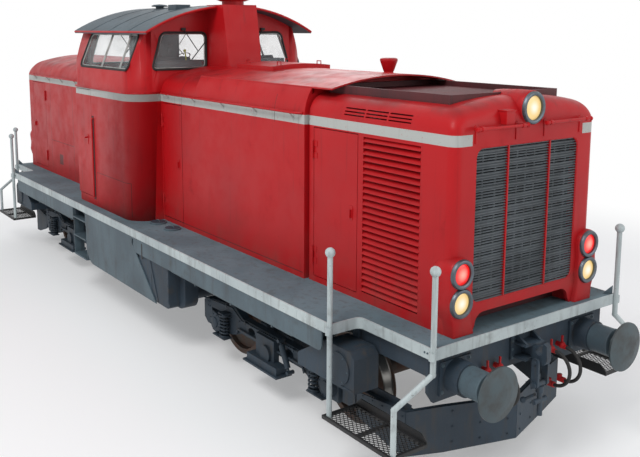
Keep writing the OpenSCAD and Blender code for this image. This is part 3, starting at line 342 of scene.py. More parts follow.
def makeSteel(name, tone, rustTone, roughness, dirtShare):
    net = Net(name)
    net.position()
    patch = net.noise(7.0, 6.0)
    grain = net.noise(120.0, 4.0)
    colour = net.mix(net.ramp(patch, 0.35, 0.7) * dirtShare, tone, rustTone)
    net.set(Base_Color=colour, Metallic=1.0 - 0.8 * net.ramp(patch, 0.35, 0.7) * dirtShare,
            Roughness=roughness + 0.25 * net.ramp(patch, 0.4, 0.8) + 0.1 * (grain - 0.5))
    net.bump(grain * 0.2 + patch * 0.4, 0.2, 0.002)
    return net.material


wheelLook = {"tread": linear(150, 148, 144), "disc": linear(74, 66, 60), "rust": linear(82, 54, 40),
             "wheelRadius": 0.475, "axleHeight": 0.503}


def makeWheel(name, axleX):
    # Bright only where the tread runs on the rail; the disc is dusty brown
    net = Net(name)
    net.position()
    look = wheelLook
    dx = net.x - axleX
    dz = net.z - look["axleHeight"]
    radius = net.math("SQRT", dx * dx + dz * dz)
    onTread = net.ramp((radius - look["wheelRadius"]).abs(), 0.014, 0.006) * net.ramp((net.y.abs() - 0.762), -0.07, -0.05)
    patch = net.noise(9.0, 6.0)
    colour = net.mix(net.ramp(patch, 0.35, 0.7), look["disc"], look["rust"])
    colour = net.mix(onTread, colour, look["tread"])
    net.set(Base_Color=colour, Metallic=0.15 + 0.75 * onTread,
            Roughness=0.72 - 0.42 * onTread + 0.1 * (patch - 0.5))
    net.bump(net.noise(60.0, 5.0) * (1.0 - onTread), 0.25, 0.003)
    return net.material


def makeRubber(name):
    net = Net(name)
    net.position()
    patch = net.noise(14.0, 5.0)
    colour = net.mix(net.ramp(patch, 0.4, 0.75) * 0.5, linear(22, 22, 23), linear(60, 56, 52))
    net.set(Base_Color=colour, Roughness=0.62 + 0.2 * net.ramp(patch, 0.3, 0.7))
    net.bump(net.noise(160.0, 4.0), 0.2, 0.001)
    return net.material


def makeLens(name, tone, edge, hot, centres, strength):
    # Pressed glass with fine upright ribs, lit from inside, brightest round each centre (y, z)
    net = Net(name)
    net.position()
    ribs = net.math("SINE", net.y * 520.0)
    spot = net.noise(30.0, 3.0)
    far = None
    for y, z in centres:
        across, up = net.y.abs() - y, net.z - (z + railTop)
        distance = net.math("SQRT", across * across + up * up)
        far = distance if far is None else net.math("MINIMUM", far, distance)
    colour = net.mix(net.ramp(far, 0.004, 0.075), hot, tone)
    colour = net.mix(net.ramp(far, 0.085, 0.125), colour, edge)
    net.set(Base_Color=net.mix(0.75, colour, (0.02, 0.02, 0.02)), Roughness=0.14 + 0.1 * spot, Coat_Weight=0.4,
            Coat_Roughness=0.05, Emission_Color=colour, Emission_Strength=strength)
    net.bump(ribs, 0.2, 0.002)
    return net.material


def makeGlass(name):
    net = Net(name)
    net.position()
    smear = net.noise(5.0, 6.0)
    dust = net.ramp(net.noise(2.0, 4.0), 0.4, 0.75)
    net.set(Base_Color=net.mix(dust * 0.4, linear(214, 224, 226), linear(170, 168, 158)),
            Roughness=0.03 + 0.12 * net.ramp(smear, 0.4, 0.8), IOR=1.45,
            Alpha=0.07 + 0.1 * dust, Specular_IOR_Level=0.35)
    net.material.surface_render_method = "BLENDED"
    return net.material


def makeSignal(name):
    # Yellow-green enamel of the brake lever
    net = Net(name)
    net.position()
    worn = net.ramp(net.noise(90.0, 5.0), 0.55, 0.65)
    net.set(Base_Color=net.mix(worn, linear(186, 190, 40), linear(120, 118, 60)), Roughness=0.35 + 0.3 * worn)
    return net.material


materials = {
    "red": makeRed("red"),
    "signal": makeSignal("signal"),
    "rubber": makeRubber("rubber"),
    "lampRim": makeSteel("lampRim", linear(96, 104, 112), linear(70, 70, 70), 0.38, 0.5),
    "bufferSteel": makeSteel("bufferSteel", linear(84, 94, 98), linear(62, 58, 54), 0.45, 0.6),
    "brightSteel": makeSteel("brightSteel", linear(170, 170, 168), linear(96, 84, 74), 0.32, 0.5),
    "redLens": makeLens("redLens", linear(250, 12, 6), linear(176, 6, 4), linear(255, 160, 140),
                        [(0.869, 1.947)], 0.85),
    "whiteLens": makeLens("whiteLens", linear(250, 214, 140), linear(206, 172, 108), linear(255, 246, 226),
                          [(0.869, 1.691), (0.0, 3.306)], 0.8),
    "glass": makeGlass("glass"),
}
for kindName in paintKinds:
    materials[kindName] = makePaint(kindName)
print("materials made")

nodeMaterial = {
    "deck": "deck", "deck_rim": "rim", "main_frame": "underframe", "side_valances": "frame",
    "fuel_tank": "underframe", "cab_steps": "frame", "end_steps": "iron", "handrail_posts": "rim",
    "buffer_sleeves": "underframe", "buffer_heads": "bufferSteel", "draw_gear": "underframe",
    "brake_cocks": "red", "brake_hoses": "rubber", "sandboxes": "underframe", "engine_block": "iron",
    # The fan coaming takes the darker well red, painted shade of the well
    "radiator_grille": "grille", "fan_coaming": "well", "cooling_fan": "brightSteel",
    "lamp_rings": "brightSteel", "red_lenses": "redLens", "white_lenses": "whiteLens",
    "cab_roof": "roof", "cab_glass": "glass", "cab_interior": "cab",
}
for nodeName, obj in nodes.items():
    if nodeName.startswith("wheelset"):
        low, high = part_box(nodeName)
        chosen = makeWheel("wheel" + nodeName[-1], (low.x + high.x) / 2)
    elif nodeName.startswith(("bogie_frame", "running_gear", "rail_guard")):
        chosen = materials["underframe"]
    else:
        chosen = materials[nodeMaterial.get(nodeName, "red")]
    obj.data.materials.clear()
    obj.data.materials.append(chosen)
print("nodes dressed")

# ---- mesh helpers: sizes in millimetres, heights above rail


def at(x, y, z):
    return Vector((x / 1000, y / 1000, z / 1000 + railTop))


def addBlock(bm, low, high, bevel=0.0):
    verts = [bm.verts.new(at(x, y, z)) for x in (low[0], high[0]) for y in (low[1], high[1])
             for z in (low[2], high[2])]
    quads = ((0, 1, 3, 2), (4, 6, 7, 5), (0, 4, 5, 1), (2, 3, 7, 6), (0, 2, 6, 4), (1, 5, 7, 3))
    faces = [bm.faces.new([verts[i] for i in quad]) for quad in quads]
    if bevel:
        edges = list({edge for face in faces for edge in face.edges})
        bmesh.ops.bevel(bm, geom=edges, offset=bevel / 1000, segments=2, profile=0.7, affect="EDGES",
                        clamp_overlap=True)


def addTube(bm, points, radius, sides=10, closed=False):
    path = [at(*p) for p in points]
    count = len(path)
    rings, normal = [], None
    for i, point in enumerate(path):
        before = path[(i - 1) % count] if closed or i > 0 else point
        after = path[(i + 1) % count] if closed or i < count - 1 else point
        tangent = (after - before).normalized()
        if normal is None:
            helper = Vector((0, 0, 1)) if abs(tangent.z) < 0.9 else Vector((1, 0, 0))
            normal = tangent.cross(helper).normalized()
        else:
            normal = (normal - tangent * normal.dot(tangent)).normalized()
        side = tangent.cross(normal)
        turns = [2 * math.pi * k / sides for k in range(sides)]
        rings.append([bm.verts.new(point + (normal * math.cos(a) + side * math.sin(a)) * radius / 1000)
                      for a in turns])
    pairs = list(zip(rings, rings[1:])) + ([(rings[-1], rings[0])] if closed else [])
    for one, two in pairs:
        for k in range(sides):
            m = (k + 1) % sides
            bm.faces.new((one[k], one[m], two[m], two[k]))
    if not closed:
        bm.faces.new(list(reversed(rings[0])))
        bm.faces.new(rings[-1])


def addLathe(bm, centre, axis, profile, sides=32, loop=False):
    # Profile points are (radius, distance along the axis); a loop is a ring with a hole
    origin, w = at(*centre), Vector(axis).normalized()
    u = w.orthogonal().normalized()
    v = w.cross(u)
    rings = []
    for r, d in profile:
        place = origin + w * (d / 1000)
        if r < 0.01:
            rings.append([bm.verts.new(place)])
        else:
            turns = [2 * math.pi * k / sides for k in range(sides)]
            rings.append([bm.verts.new(place + (u * math.cos(a) + v * math.sin(a)) * r / 1000) for a in turns])
    pairs = list(zip(rings, rings[1:])) + ([(rings[-1], rings[0])] if loop else [])
    for one, two in pairs:
        for k in range(sides):
            m = (k + 1) % sides
            if len(one) == 1 and len(two) > 1:
                bm.faces.new((one[0], two[m], two[k]))
            elif len(two) == 1 and len(one) > 1:
                bm.faces.new((one[k], one[m], two[0]))
            elif len(one) > 1:
                bm.faces.new((one[k], one[m], two[m], two[k]))


def addPrism(bm, outline, plane, start, stop):
    # The outline lies in xz, yz or xy and is drawn out along the third axis
    def place(a, b, d):
        return at(*{"xz": (a, d, b), "yz": (d, a, b), "xy": (a, b, d)}[plane])

    low = [bm.verts.new(place(a, b, start)) for a, b in outline]
    high = [bm.verts.new(place(a, b, stop)) for a, b in outline]
    bm.faces.new(low)
    bm.faces.new(list(reversed(high)))
    for k in range(len(outline)):
        m = (k + 1) % len(outline)
        bm.faces.new((low[m], low[k], high[k], high[m]))


def addLoft(bm, rings):
    # Rings of equally many points, closed at both ends
    made = [[bm.verts.new(at(*p)) for p in ring] for ring in rings]
    for one, two in zip(made, made[1:]):
        for k in range(len(one)):
            m = (k + 1) % len(one)
            bm.faces.new((one[k], one[m], two[m], two[k]))
    bm.faces.new(list(reversed(made[0])))
    bm.faces.new(made[-1])


def roundedOutline(low, high, radius, steps=6):
    points = []
    corners = ((high[0] - radius, high[1] - radius, 0), (low[0] + radius, high[1] - radius, 90),
               (low[0] + radius, low[1] + radius, 180), (high[0] - radius, low[1] + radius, 270))
    for cx, cy, start in corners:
        for k in range(steps + 1):
            a = math.radians(start + 90 * k / steps)
            points.append((cx + radius * math.cos(a), cy + radius * math.sin(a)))
    return points


slotOf = {"red": "red_paint", "well": "well_paint", "deck": "deck_paint", "rim": "rim_paint",
          "frame": "frame_paint", "underframe": "underframe_paint", "bufferSteel": "buffer_steel",
          "brightSteel": "bright_steel", "grille": "grille_steel", "iron": "step_iron",
          "rubber": "hose_rubber", "lampRim": "bright_steel", "roof": "roof_paint", "glass": "window_glass", "redLens": "red_glass",
          "whiteLens": "white_glass", "cab": "cab_grey"}


def placeMesh(name, mesh, material, body="loco", smooth=38.0, replaces=()):
    mesh.shade_smooth()
    mesh.set_sharp_from_angle(angle=math.radians(smooth))
    obj = bpy.data.objects.new(name, mesh)
    scene.collection.objects.link(obj)
    obj.data.materials.clear()
    obj.data.materials.append(materials[material])
    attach(obj, body)
    material in slotOf
    if replaces:
        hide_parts(*replaces)
    return obj


def makePiece(name, bm, material, body="loco", smooth=38.0, replaces=()):
    bmesh.ops.recalc_face_normals(bm, faces=bm.faces[:])
    mesh = bpy.data.meshes.new(name)
    bm.to_mesh(mesh)
    bm.free()
    return placeMesh(name, mesh, material, body, smooth, replaces)


# ---- geometry node trees for what repeats


class Growth:
    # One Geometry Nodes tree with named inputs
    def __init__(self, name, sizes):
        self.group = bpy.data.node_groups.new(name, "GeometryNodeTree")
        face = self.group.interface
        face.new_socket(name="Places", in_out="INPUT", socket_type="NodeSocketGeometry")
        for label, (kind, value) in sizes.items():
            face.new_socket(name=label, in_out="INPUT", socket_type=kind).default_value = value
        face.new_socket(name="Material", in_out="INPUT", socket_type="NodeSocketMaterial")
        face.new_socket(name="Geometry", in_out="OUTPUT", socket_type="NodeSocketGeometry")
        self.start = self.group.nodes.new("NodeGroupInput")
        self.end = self.group.nodes.new("NodeGroupOutput")

    def node(self, kind, settings=None, inputs=None):
        made = self.group.nodes.new(kind)
        for key, value in (settings or {}).items():
            setattr(made, key, value)
        for key, value in (inputs or {}).items():
            if isinstance(value, bpy.types.NodeSocket):
                self.group.links.new(value, made.inputs[key])
            else:
                made.inputs[key].default_value = value
        return made

    def attribute(self, name):
        made = self.node("GeometryNodeInputNamedAttribute", {"data_type": "FLOAT_VECTOR"}, {"Name": name})
        return made.outputs["Attribute"]

    def finish(self, shape):
        # Stands the shape on every place with its own size and turn
        turn = self.node("FunctionNodeEulerToRotation", {}, {0: self.attribute("turn")})
        stand = self.node("GeometryNodeInstanceOnPoints", {}, {
            "Points": self.start.outputs["Places"], "Instance": shape,
            "Rotation": turn.outputs[0], "Scale": self.attribute("size")})
        real = self.node("GeometryNodeRealizeInstances", {}, {0: stand.outputs[0]})
        paint = self.node("GeometryNodeSetMaterial", {}, {
            "Geometry": real.outputs[0], "Material": self.start.outputs["Material"]})
        self.group.links.new(paint.outputs[0], self.end.inputs[0])
        return self


def barGrowth():
    tree = Growth("bars", {})
    cube = tree.node("GeometryNodeMeshCube", {}, {"Size": (1.0, 1.0, 1.0)})
    return tree.finish(cube.outputs["Mesh"])


def studGrowth():
    # A washer with a domed head, one metre high before it is scaled
    tree = Growth("studs", {"Sides": ("NodeSocketInt", 6)})
    washer = tree.node("GeometryNodeMeshCylinder", {}, {
        "Vertices": 12, "Radius": 1.0, "Depth": 0.5})
    head = tree.node("GeometryNodeMeshCone", {}, {
        "Vertices": tree.start.outputs["Sides"], "Radius Top": 0.52, "Radius Bottom": 0.68, "Depth": 0.9})
    both = tree.node("GeometryNodeJoinGeometry")
    tree.group.links.new(washer.outputs["Mesh"], both.inputs[0])
    tree.group.links.new(head.outputs["Mesh"], both.inputs[0])
    return tree.finish(both.outputs[0])


def springGrowth():
    tree = Growth("springs", {"Turns": ("NodeSocketFloat", 5.0), "Wire": ("NodeSocketFloat", 0.011)})
    line = tree.node("GeometryNodeCurveSpiral", {}, {
        "Resolution": 18, "Rotations": tree.start.outputs["Turns"], "Start Radius": 1.0,
        "End Radius": 1.0, "Height": 1.0})
    ring = tree.node("GeometryNodeCurvePrimitiveCircle", {}, {
        "Resolution": 8, "Radius": tree.start.outputs["Wire"]})
    turn = tree.node("FunctionNodeEulerToRotation", {}, {0: tree.attribute("turn")})
    stand = tree.node("GeometryNodeInstanceOnPoints", {}, {
        "Points": tree.start.outputs["Places"], "Instance": line.outputs[0],
        "Rotation": turn.outputs[0], "Scale": tree.attribute("size")})
    real = tree.node("GeometryNodeRealizeInstances", {}, {0: stand.outputs[0]})
    thick = tree.node("GeometryNodeCurveToMesh", {}, {
        "Curve": real.outputs[0], "Profile Curve": ring.outputs[0], "Fill Caps": True})
    paint = tree.node("GeometryNodeSetMaterial", {}, {
        "Geometry": thick.outputs[0], "Material": tree.start.outputs["Material"]})
    tree.group.links.new(paint.outputs[0], tree.end.inputs[0])
    return tree


growths = {"bars": barGrowth(), "studs": studGrowth(), "springs": springGrowth()}


def grow(name, kind, places, material, body="loco", smooth=38.0, values=None, replaces=()):
    # Places are (point, size, turn): millimetres for bars and springs, radians for turns
    mesh = bpy.data.meshes.new(name + "Places")
    mesh.from_pydata([at(*point) for point, size, turn in places], [], [])
    for label, index in (("size", 1), ("turn", 2)):
        layer = mesh.attributes.new(label, "FLOAT_VECTOR", "POINT")
        for k, place in enumerate(places):
            layer.data[k].vector = [v / 1000 for v in place[1]] if label == "size" else place[2]
    seedling = bpy.data.objects.new(name + "Places", mesh)
    scene.collection.objects.link(seedling)
    modifier = seedling.modifiers.new("grow", "NODES")
    tree = growths[kind].group
    modifier.node_group = tree
    given = dict(values or {}, Material=materials[material])
    for item in tree.interface.items_tree:
        if item.in_out == "INPUT" and item.name in given:
            modifier[item.identifier] = given[item.name]
    evaluated = seedling.evaluated_get(bpy.context.evaluated_depsgraph_get())
    grown = bpy.data.meshes.new_from_object(evaluated)
    grown.name = name
    for label in ("size", "turn"):
        if label in grown.attributes:
            grown.attributes.remove(grown.attributes[label])
    bpy.data.objects.remove(seedling)
    return placeMesh(name, grown, material, body, smooth, replaces)


def facing(direction):
    return tuple(Vector(direction).to_track_quat("Z", "Y").to_euler())


fourCorners = [(sx, sy) for sx in (1, -1) for sy in (1, -1)]

# ---- brake hoses

hoseLook = {"x": 5640, "y": (360, 520), "middleZ": 835, "bow": 165, "radius": 0.017, "steps": 36}


def makeHoses():
    look = hoseLook
    made = []
    for sx, sy in fourCorners:
        for y in look["y"]:
            name = "brakeHose%d" % (len(made) + 1)
            curve = bpy.data.curves.new(name, "CURVE")
            curve.dimensions = "3D"
            curve.bevel_depth = look["radius"]
            curve.bevel_resolution = 5
            curve.use_fill_caps = True
            spline = curve.splines.new("POLY")
            spline.points.add(look["steps"])
            for k in range(look["steps"] + 1):
                a = math.pi * (0.5 - k / look["steps"])
                place = at(sx * (look["x"] + look["bow"] * math.cos(a)), sy * y,
                           look["middleZ"] + look["bow"] * math.sin(a))
                spline.points[k].co = (*place, 1.0)
            obj = bpy.data.objects.new(name, curve)
            scene.collection.objects.link(obj)
            curve.materials.append(materials["rubber"])
            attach(obj, "loco")
            tuple(at(sx * look["x"], sy * y, look["middleZ"] + look["bow"]))
            made.append(obj)
    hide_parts("brake_hoses")


makeHoses()

# ---- cutting one closed form with others

def solidFrom(bm):
    bmesh.ops.recalc_face_normals(bm, faces=bm.faces[:])
    mesh = bpy.data.meshes.new("cutter")
    bm.to_mesh(mesh)
    bm.free()
    obj = bpy.data.objects.new("cutter", mesh)
    scene.collection.objects.link(obj)
    return obj


def carve(body, cutters):
    # Takes every cutter out of the body and leaves a plain mesh
    for cutter in cutters:
        modifier = body.modifiers.new("carve", "BOOLEAN")
        modifier.operation = "DIFFERENCE"
        modifier.solver = "EXACT"
        modifier.object = cutter
    evaluated = body.evaluated_get(bpy.context.evaluated_depsgraph_get())
    mesh = bpy.data.meshes.new_from_object(evaluated)
    for obj in [body] + cutters:
        bpy.data.objects.remove(obj)
    return mesh



# ---- radiator grille

grilleLook = {"halfWidth": 686, "low": 1633, "high": 3000, "cornerRadius": 90, "ribPitch": 24.4,
              "rib": (15, 5), "ribTilt": 28, "bands": 13, "bandHeight": 44, "mullionY": (-280, 280),
              "faceX": 5527, "coreX": (5420, 5452)}


def makeGrille():
    look = grilleLook
    low, high, radius, half = look["low"], look["high"], look["cornerRadius"], look["halfWidth"]

    def halfAt(z):
        into = max(low + radius - z, z - (high - radius), 0)
        return half - radius + math.sqrt(max(radius ** 2 - into ** 2, 0))

    x = look["faceX"]
    tilt = (0, math.radians(look["ribTilt"]), 0)
    ribs = []
    z = low + 14
    while z < high - 10:
        ribs.append(((x - 14, 0, z), (look["rib"][0], 2 * halfAt(z) - 8, look["rib"][1]), tilt))
        z += look["ribPitch"]
    grow("grilleRibs", "bars", ribs, "grille", replaces=("radiator_grille",))
    step = (high - low) / look["bands"]
    bands = []
    for k in range(look["bands"]):
        z = low + step * (k + 0.5)
        bands.append(((x - 34, 0, z), (5, 2 * halfAt(z) - 6, look["bandHeight"]), (0, 0, 0)))
    for y in (-560, -400, -116, 0, 116, 400, 560):
        bands.append(((x - 42, y, (low + high) / 2), (8, 16, high - low - 60), (0, 0, 0)))
    grow("grilleBands", "bars", bands, "grille")
    bm = bmesh.new()
    for y in look["mullionY"]:
        addBlock(bm, (x - 30, y - 9, low + 1), (x + 3, y + 9, high - 1), 4)
    addTube(bm, [(x - 8, y, z) for y, z in roundedOutline((-half, low), (half, high), radius, 8)], 9, 8, True)
    makePiece("grilleFrame", bm, "red")
    # Fins of the radiator behind the ribs
    fins = []
    y = -half + 20
    while y < half - 10:
        fins.append((((look["coreX"][0] + look["coreX"][1]) / 2, y, (low + high) / 2),
                     (look["coreX"][1] - look["coreX"][0], 7, high - low - 40), (0, 0, 0)))
        y += 19
    fins.append(((look["coreX"][0] - 6, 0, (low + high) / 2), (10, 2 * half - 20, high - low - 30), (0, 0, 0)))
    grow("radiatorCore", "bars", fins, "iron")


makeGrille()

# ---- step trays at the corners

trayLook = {"x": (4668, 5600), "y": (1255, 1655), "top": 547, "rim": 34, "bar": 26, "rimBack": 70,
            "strandPitch": 34, "strandAngle": 34, "strand": 6.5}


def clippedStrands(low, high, pitch, angle):
    # Slanted lines of two families, cut to a rectangle
    lines = []
    cx, cy = (low[0] + high[0]) / 2, (low[1] + high[1]) / 2
    reach = math.hypot(high[0] - low[0], high[1] - low[1]) / 2
    for lean in (angle, -angle):
        a = math.radians(lean)
        dx, dy = math.cos(a), math.sin(a)
        count = int(reach / pitch) + 1
        for k in range(-count, count + 1):
            px, py = cx - dy * k * pitch, cy + dx * k * pitch
            t0, t1 = -1e9, 1e9
            for p, d, a0, a1 in ((px, dx, low[0], high[0]), (py, dy, low[1], high[1])):
                s0, s1 = sorted(((a0 - p) / d, (a1 - p) / d))
                t0, t1 = max(t0, s0), min(t1, s1)
            if t1 - t0 > 8:
                middle = (t0 + t1) / 2
                lines.append((px + dx * middle, py + dy * middle, t1 - t0, a))
    return lines


def makeTrays():
    look = trayLook
    x0, x1 = look["x"]
    y0, y1 = look["y"]
    top, bar = look["top"], look["bar"]
    bay = (x1 - x0 - bar) / 2
    bars, bm = [], bmesh.new()
    for sx, sy in fourCorners:
        def box(ax, ay, az, bx, by, bz, bevel=4):
            xs, ys = sorted((sx * ax, sx * bx)), sorted((sy * ay, sy * by))
            addBlock(bm, (xs[0], ys[0], az), (xs[1], ys[1], bz), bevel)

        box(x0, y0, top - look["rim"], x1, y0 + bar, top)
        box(x0, y1 - bar, top - look["rim"], x1, y1, top)
        for x in (x0, x0 + bay, x1 - bar):
            box(x, y0 + bar - 2, top - look["rim"], x + bar, y1 - bar + 2, top - 1)
        # Upright lip at the back with its sloping ends
        lip = [(x0, top - look["rim"]), (x1, top - look["rim"]), (x1, top + 8), (x1 - 70, top + look["rimBack"]),
               (x0 + 70, top + look["rimBack"]), (x0, top + 8)]
        ends = sorted((sy * (y0 - 8), sy * (y0 + 1)))
        addPrism(bm, [(sx * x, z) for x, z in lip], "xz", ends[0], ends[1])
        for k in (0, 1):
            low = (x0 + k * bay + bar, y0 + bar)
            high = (x0 + (k + 1) * bay, y1 - bar)
            for cx, cy, length, a in clippedStrands(low, high, look["strandPitch"], look["strandAngle"]):
                bars.append(((sx * cx, sy * cy, top - 14), (length, look["strand"], 5), (0, 0, sx * sy * a)))
    makePiece("stepTrays", bm, "iron", replaces=("end_steps",))
    grow("trayGratings", "bars", bars, "iron")


makeTrays()

# ---- cab windows, wipers and what shows inside

windowLook = {"side": ((-1668, 3440), (30, 3925)), "radius": 80,
              "end": ((284, 3446), (1112, 3446), (962, 3940), (284, 3940)),
              "gasket": 15, "frame": 9, "wallY": 1425, "leanFrom": 3400, "lean": 0.42,
              "barX": (-880, -250), "frontX": 170, "rearX": -2043}


def sideWallY(z):
    look = windowLook
    return look["wallY"] - look["lean"] * max(z - look["leanFrom"], 0)


def roundedPolygon(corners, radius, steps=7):
    # Closed outline with every corner rounded off
    points = []
    for k, (y, z) in enumerate(corners):
        ends = []
        for oy, oz in (corners[k - 1], corners[(k + 1) % len(corners)]):
            length = math.hypot(oy - y, oz - z)
            ends.append((y + (oy - y) / length * radius, z + (oz - z) / length * radius))
        (ay, az), (by, bz) = ends
        for n in range(steps + 1):
            t = n / steps
            points.append(((1 - t) ** 2 * ay + 2 * t * (1 - t) * y + t * t * by,
                           (1 - t) ** 2 * az + 2 * t * (1 - t) * z + t * t * bz))
    return points


def insetCorners(corners, inset):
    cy = sum(y for y, z in corners) / len(corners)
    cz = sum(z for y, z in corners) / len(corners)
    return [(y - math.copysign(inset, y - cy), z - math.copysign(inset, z - cz)) for y, z in corners]


def makeCabShell():
    # The CAD shell with its end windows opened out to their slanted outline, and panes to fit
    look = windowLook
    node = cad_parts["cab_shell"]
    source = node.data.copy()
    source.transform(node.matrix_world)
    shell = bpy.data.objects.new("cutter", source)
    scene.collection.objects.link(shell)
    cuts, panes = [], bmesh.new()
    outline = roundedPolygon(look["end"], look["radius"])
    for wallX, out in ((look["frontX"], 1), (look["rearX"], -1)):
        for sy in (1, -1):
            hole = bmesh.new()
            addPrism(hole, [(sy * y, z) for y, z in outline], "yz", wallX - out * 90, wallX + out * 40)
            cuts.append(solidFrom(hole))
            addPrism(panes, [(sy * y, z) for y, z in outline], "yz", wallX - out * 24, wallX - out * 18)
    (x0, z0), (x1, z1) = look["side"]
    outer = roundedOutline((x0 + 1, z0 + 1), (x1 - 1, z1 - 1), look["radius"], 8)
    for sy in (1, -1):
        addLoft(panes, [[(x, sy * (sideWallY(z) - deep), z) for x, z in outer] for deep in (18, 24)])
    placeMesh("cabShellCut", carve(shell, cuts), "red", smooth=30.0, replaces=("cab_shell",))
    makePiece("cabPanes", panes, "glass", replaces=("cab_glass",))


makeCabShell()


def makeWindowFrames():
    look = windowLook
    rubber, metal = bmesh.new(), bmesh.new()
    (sx0, sz0), (sx1, sz1) = look["side"]
    ez1 = look["end"][2][1]
    for sy in (1, -1):
        outer = roundedOutline((sx0, sz0), (sx1, sz1), look["radius"], 8)
        inner = roundedOutline((sx0 + 18, sz0 + 18), (sx1 - 18, sz1 - 18), look["radius"] - 18, 8)
        addTube(rubber, [(x, sy * (sideWallY(z) + 1), z) for x, z in outer], look["gasket"], 8, True)
        addTube(metal, [(x, sy * (sideWallY(z) - 14), z) for x, z in inner], look["frame"], 8, True)
        for x in look["barX"]:
            for shift in (-16, 16):
                addTube(metal, [(x + shift, sy * (sideWallY(z) - 12), z) for z in (sz0 + 6, sz1 - 6)], 9, 8)
        for wallX, out in ((look["frontX"], 1), (look["rearX"], -1)):
            outer = roundedPolygon(look["end"], look["radius"])
            inner = roundedPolygon(insetCorners(look["end"], 18), look["radius"] - 12)
            addTube(rubber, [(wallX + out, sy * y, z) for y, z in outer], look["gasket"], 8, True)
            addTube(metal, [(wallX - out * 14, sy * y, z) for y, z in inner], look["frame"], 8, True)
            # Wiper: motor box above, arm and blade across the pane
            x = wallX + out * 26
            addTube(rubber, [(x, sy * 640, ez1 + 42), (x + out * 6, sy * 430, ez1 - 250)], 6, 6)
            addTube(rubber, [(x + out * 2, sy * 300, ez1 - 120), (x + out * 2, sy * 540, ez1 - 385)], 7, 6)
            addBlock(rubber, (min(wallX, x + out * 8), sy * 640 - 32, ez1 + 24),
                     (max(wallX, x + out * 8), sy * 640 + 32, ez1 + 62), 6)
    makePiece("windowGaskets", rubber, "rubber")
    makePiece("windowFrames", metal, "brightSteel")


makeWindowFrames()

cabLook = {"cabinetX": (-1995, -1640), "cabinetY": (-470, 235), "cabinetZ": (3302, 3905),
           "dials": ((46, 3528, 52), (62, 3640, 34), (70, 3752, 24), (-60, 3560, 30), (-200, 3600, 60)),
           "deskDials": ((-60, -560), (-60, -700), (-60, -840)), "leverY": -545}


def makeCabInside():
    look = cabLook
    bm = bmesh.new()
    (x0, x1), (y0, y1), (z0, z1) = look["cabinetX"], look["cabinetY"], look["cabinetZ"]
    addBlock(bm, (x0, y0, z0), (x1, y1, z1), 10)
    for y in (y0 + 235, y0 + 470):
        addBlock(bm, (x1 - 2, y - 3, z0 + 30), (x1 + 3, y + 3, z1 - 30), 1)
    # Raised panels on the two driving desks
    for sy in (1, -1):
        addPrism(bm, [(-300, 3416), (-70, 3562), (-96, 3600), (-326, 3452)], "xz", sy * 700 - 300, sy * 700 + 300)
    makePiece("cabCabinet", bm, "cab")
    rims, faces = bmesh.new(), bmesh.new()
    for y, z, r in look["dials"]:
        addLathe(rims, (x1, y, z), (1, 0, 0), [(r, -2), (r + 5, -2), (r + 5, 12), (r - 1, 12), (r - 3, 6), (r - 3, -2)],
                 24, True)
        addLathe(faces, (x1, y, z), (1, 0, 0), [(0, 0), (r - 2, 0), (r - 2, 6), (0, 6)], 24)
    for sy in (1, -1):
        for k in range(4):
            centre = (-190, sy * 700 - 210 + 140 * k, 3512)
            lean = (-0.536, 0, 0.844)
            addLathe(rims, centre, lean, [(38, 0), (44, 0), (44, 22), (38, 22)], 24, True)
            addLathe(faces, centre, lean, [(0, 2), (39, 2), (39, 14), (0, 14)], 24)
        # Control wheel on the desk
        addLathe(rims, (-150, sy * 470, 3600), lean, [(95, 0), (105, 6), (95, 12), (88, 6)], 28, True)
        addTube(rims, [(-150, sy * 470, 3520), (-150, sy * 470, 3606)], 14, 10)
        addBlock(rims, (-245, sy * 470 - 8, 3592), (-55, sy * 470 + 8, 3606), 3)
    makePiece("dialRims", rims, "rubber")
    makePiece("dialFaces", faces, "roof")
    lever = bmesh.new()
    addTube(lever, [(70, look["leverY"], 3540), (62, look["leverY"], 3600), (40, look["leverY"], 3680)], 9, 8)
    addLathe(lever, (40, look["leverY"], 3672), (-0.3, 0, 1), [(0, 0), (18, 4), (22, 18), (16, 34), (0, 40)], 16)
    makePiece("brakeLever", lever, "signal")


makeCabInside()

# ---- handrails in their niches beside the cab doors

nicheLook = {"x": (-1916, -1205), "z": (1525, 2690), "bar": 13, "width": 74}


def cabPlanY(x):
    # Half width of the cab wall at a place along it, with its rounded corners
    radius, low, high = 310, -2043 + 310, 170 - 310
    into = max(low - x, x - high, 0)
    return 1425 - radius + math.sqrt(max(radius ** 2 - into ** 2, 0))


def makeNiches():
    look = nicheLook
    bars, plates = bmesh.new(), bmesh.new()
    z0, z1 = look["z"]
    half = look["width"] / 2
    for sy in (1, -1):
        for x in look["x"]:
            rings = []
            for dx, proud in ((-half, -6), (-half, 3), (-half + 9, 3), (-half + 12, 0.8), (half - 12, 0.8),
                              (half - 9, 3), (half, 3), (half, -6)):
                rings.append((x + dx, sy * (cabPlanY(x + dx) + proud)))
            addPrism(plates, rings, "xy", z0 - 40, z1 + 40)
            y = sy * (cabPlanY(x) + 18)
            wall = sy * (cabPlanY(x) - 4)
            addTube(bars, [(x, wall, z0), (x, y * 0.999, z0 + 4), (x, y, z0 + 22), (x, y, z1 - 22),
                           (x, y * 0.999, z1 - 4), (x, wall, z1)], look["bar"], 10)
    # The niche plates take the darker well red, painted shade of the recess
    makePiece("handrailNiches", plates, "well")
    makePiece("nicheHandrails", bars, "red")


makeNiches()

# ---- roof trim, roof box and vents

roofLook = {"radius": 2652.8, "axisZ": 1658.2, "eaveHalf": 1317, "x": (-2087, 452), "stackHalf": 268,
            "trim": 17, "boxX": (-420, -180), "boxY": (-560, -330), "ventAt": (-1050, -380)}


def roofPoint(x, y, lift=0.0):
    look = roofLook
    angle = math.asin(max(-1, min(1, y / look["radius"])))
    r = look["radius"] + lift
    return (x, r * math.sin(angle), look["axisZ"] + r * math.cos(angle))


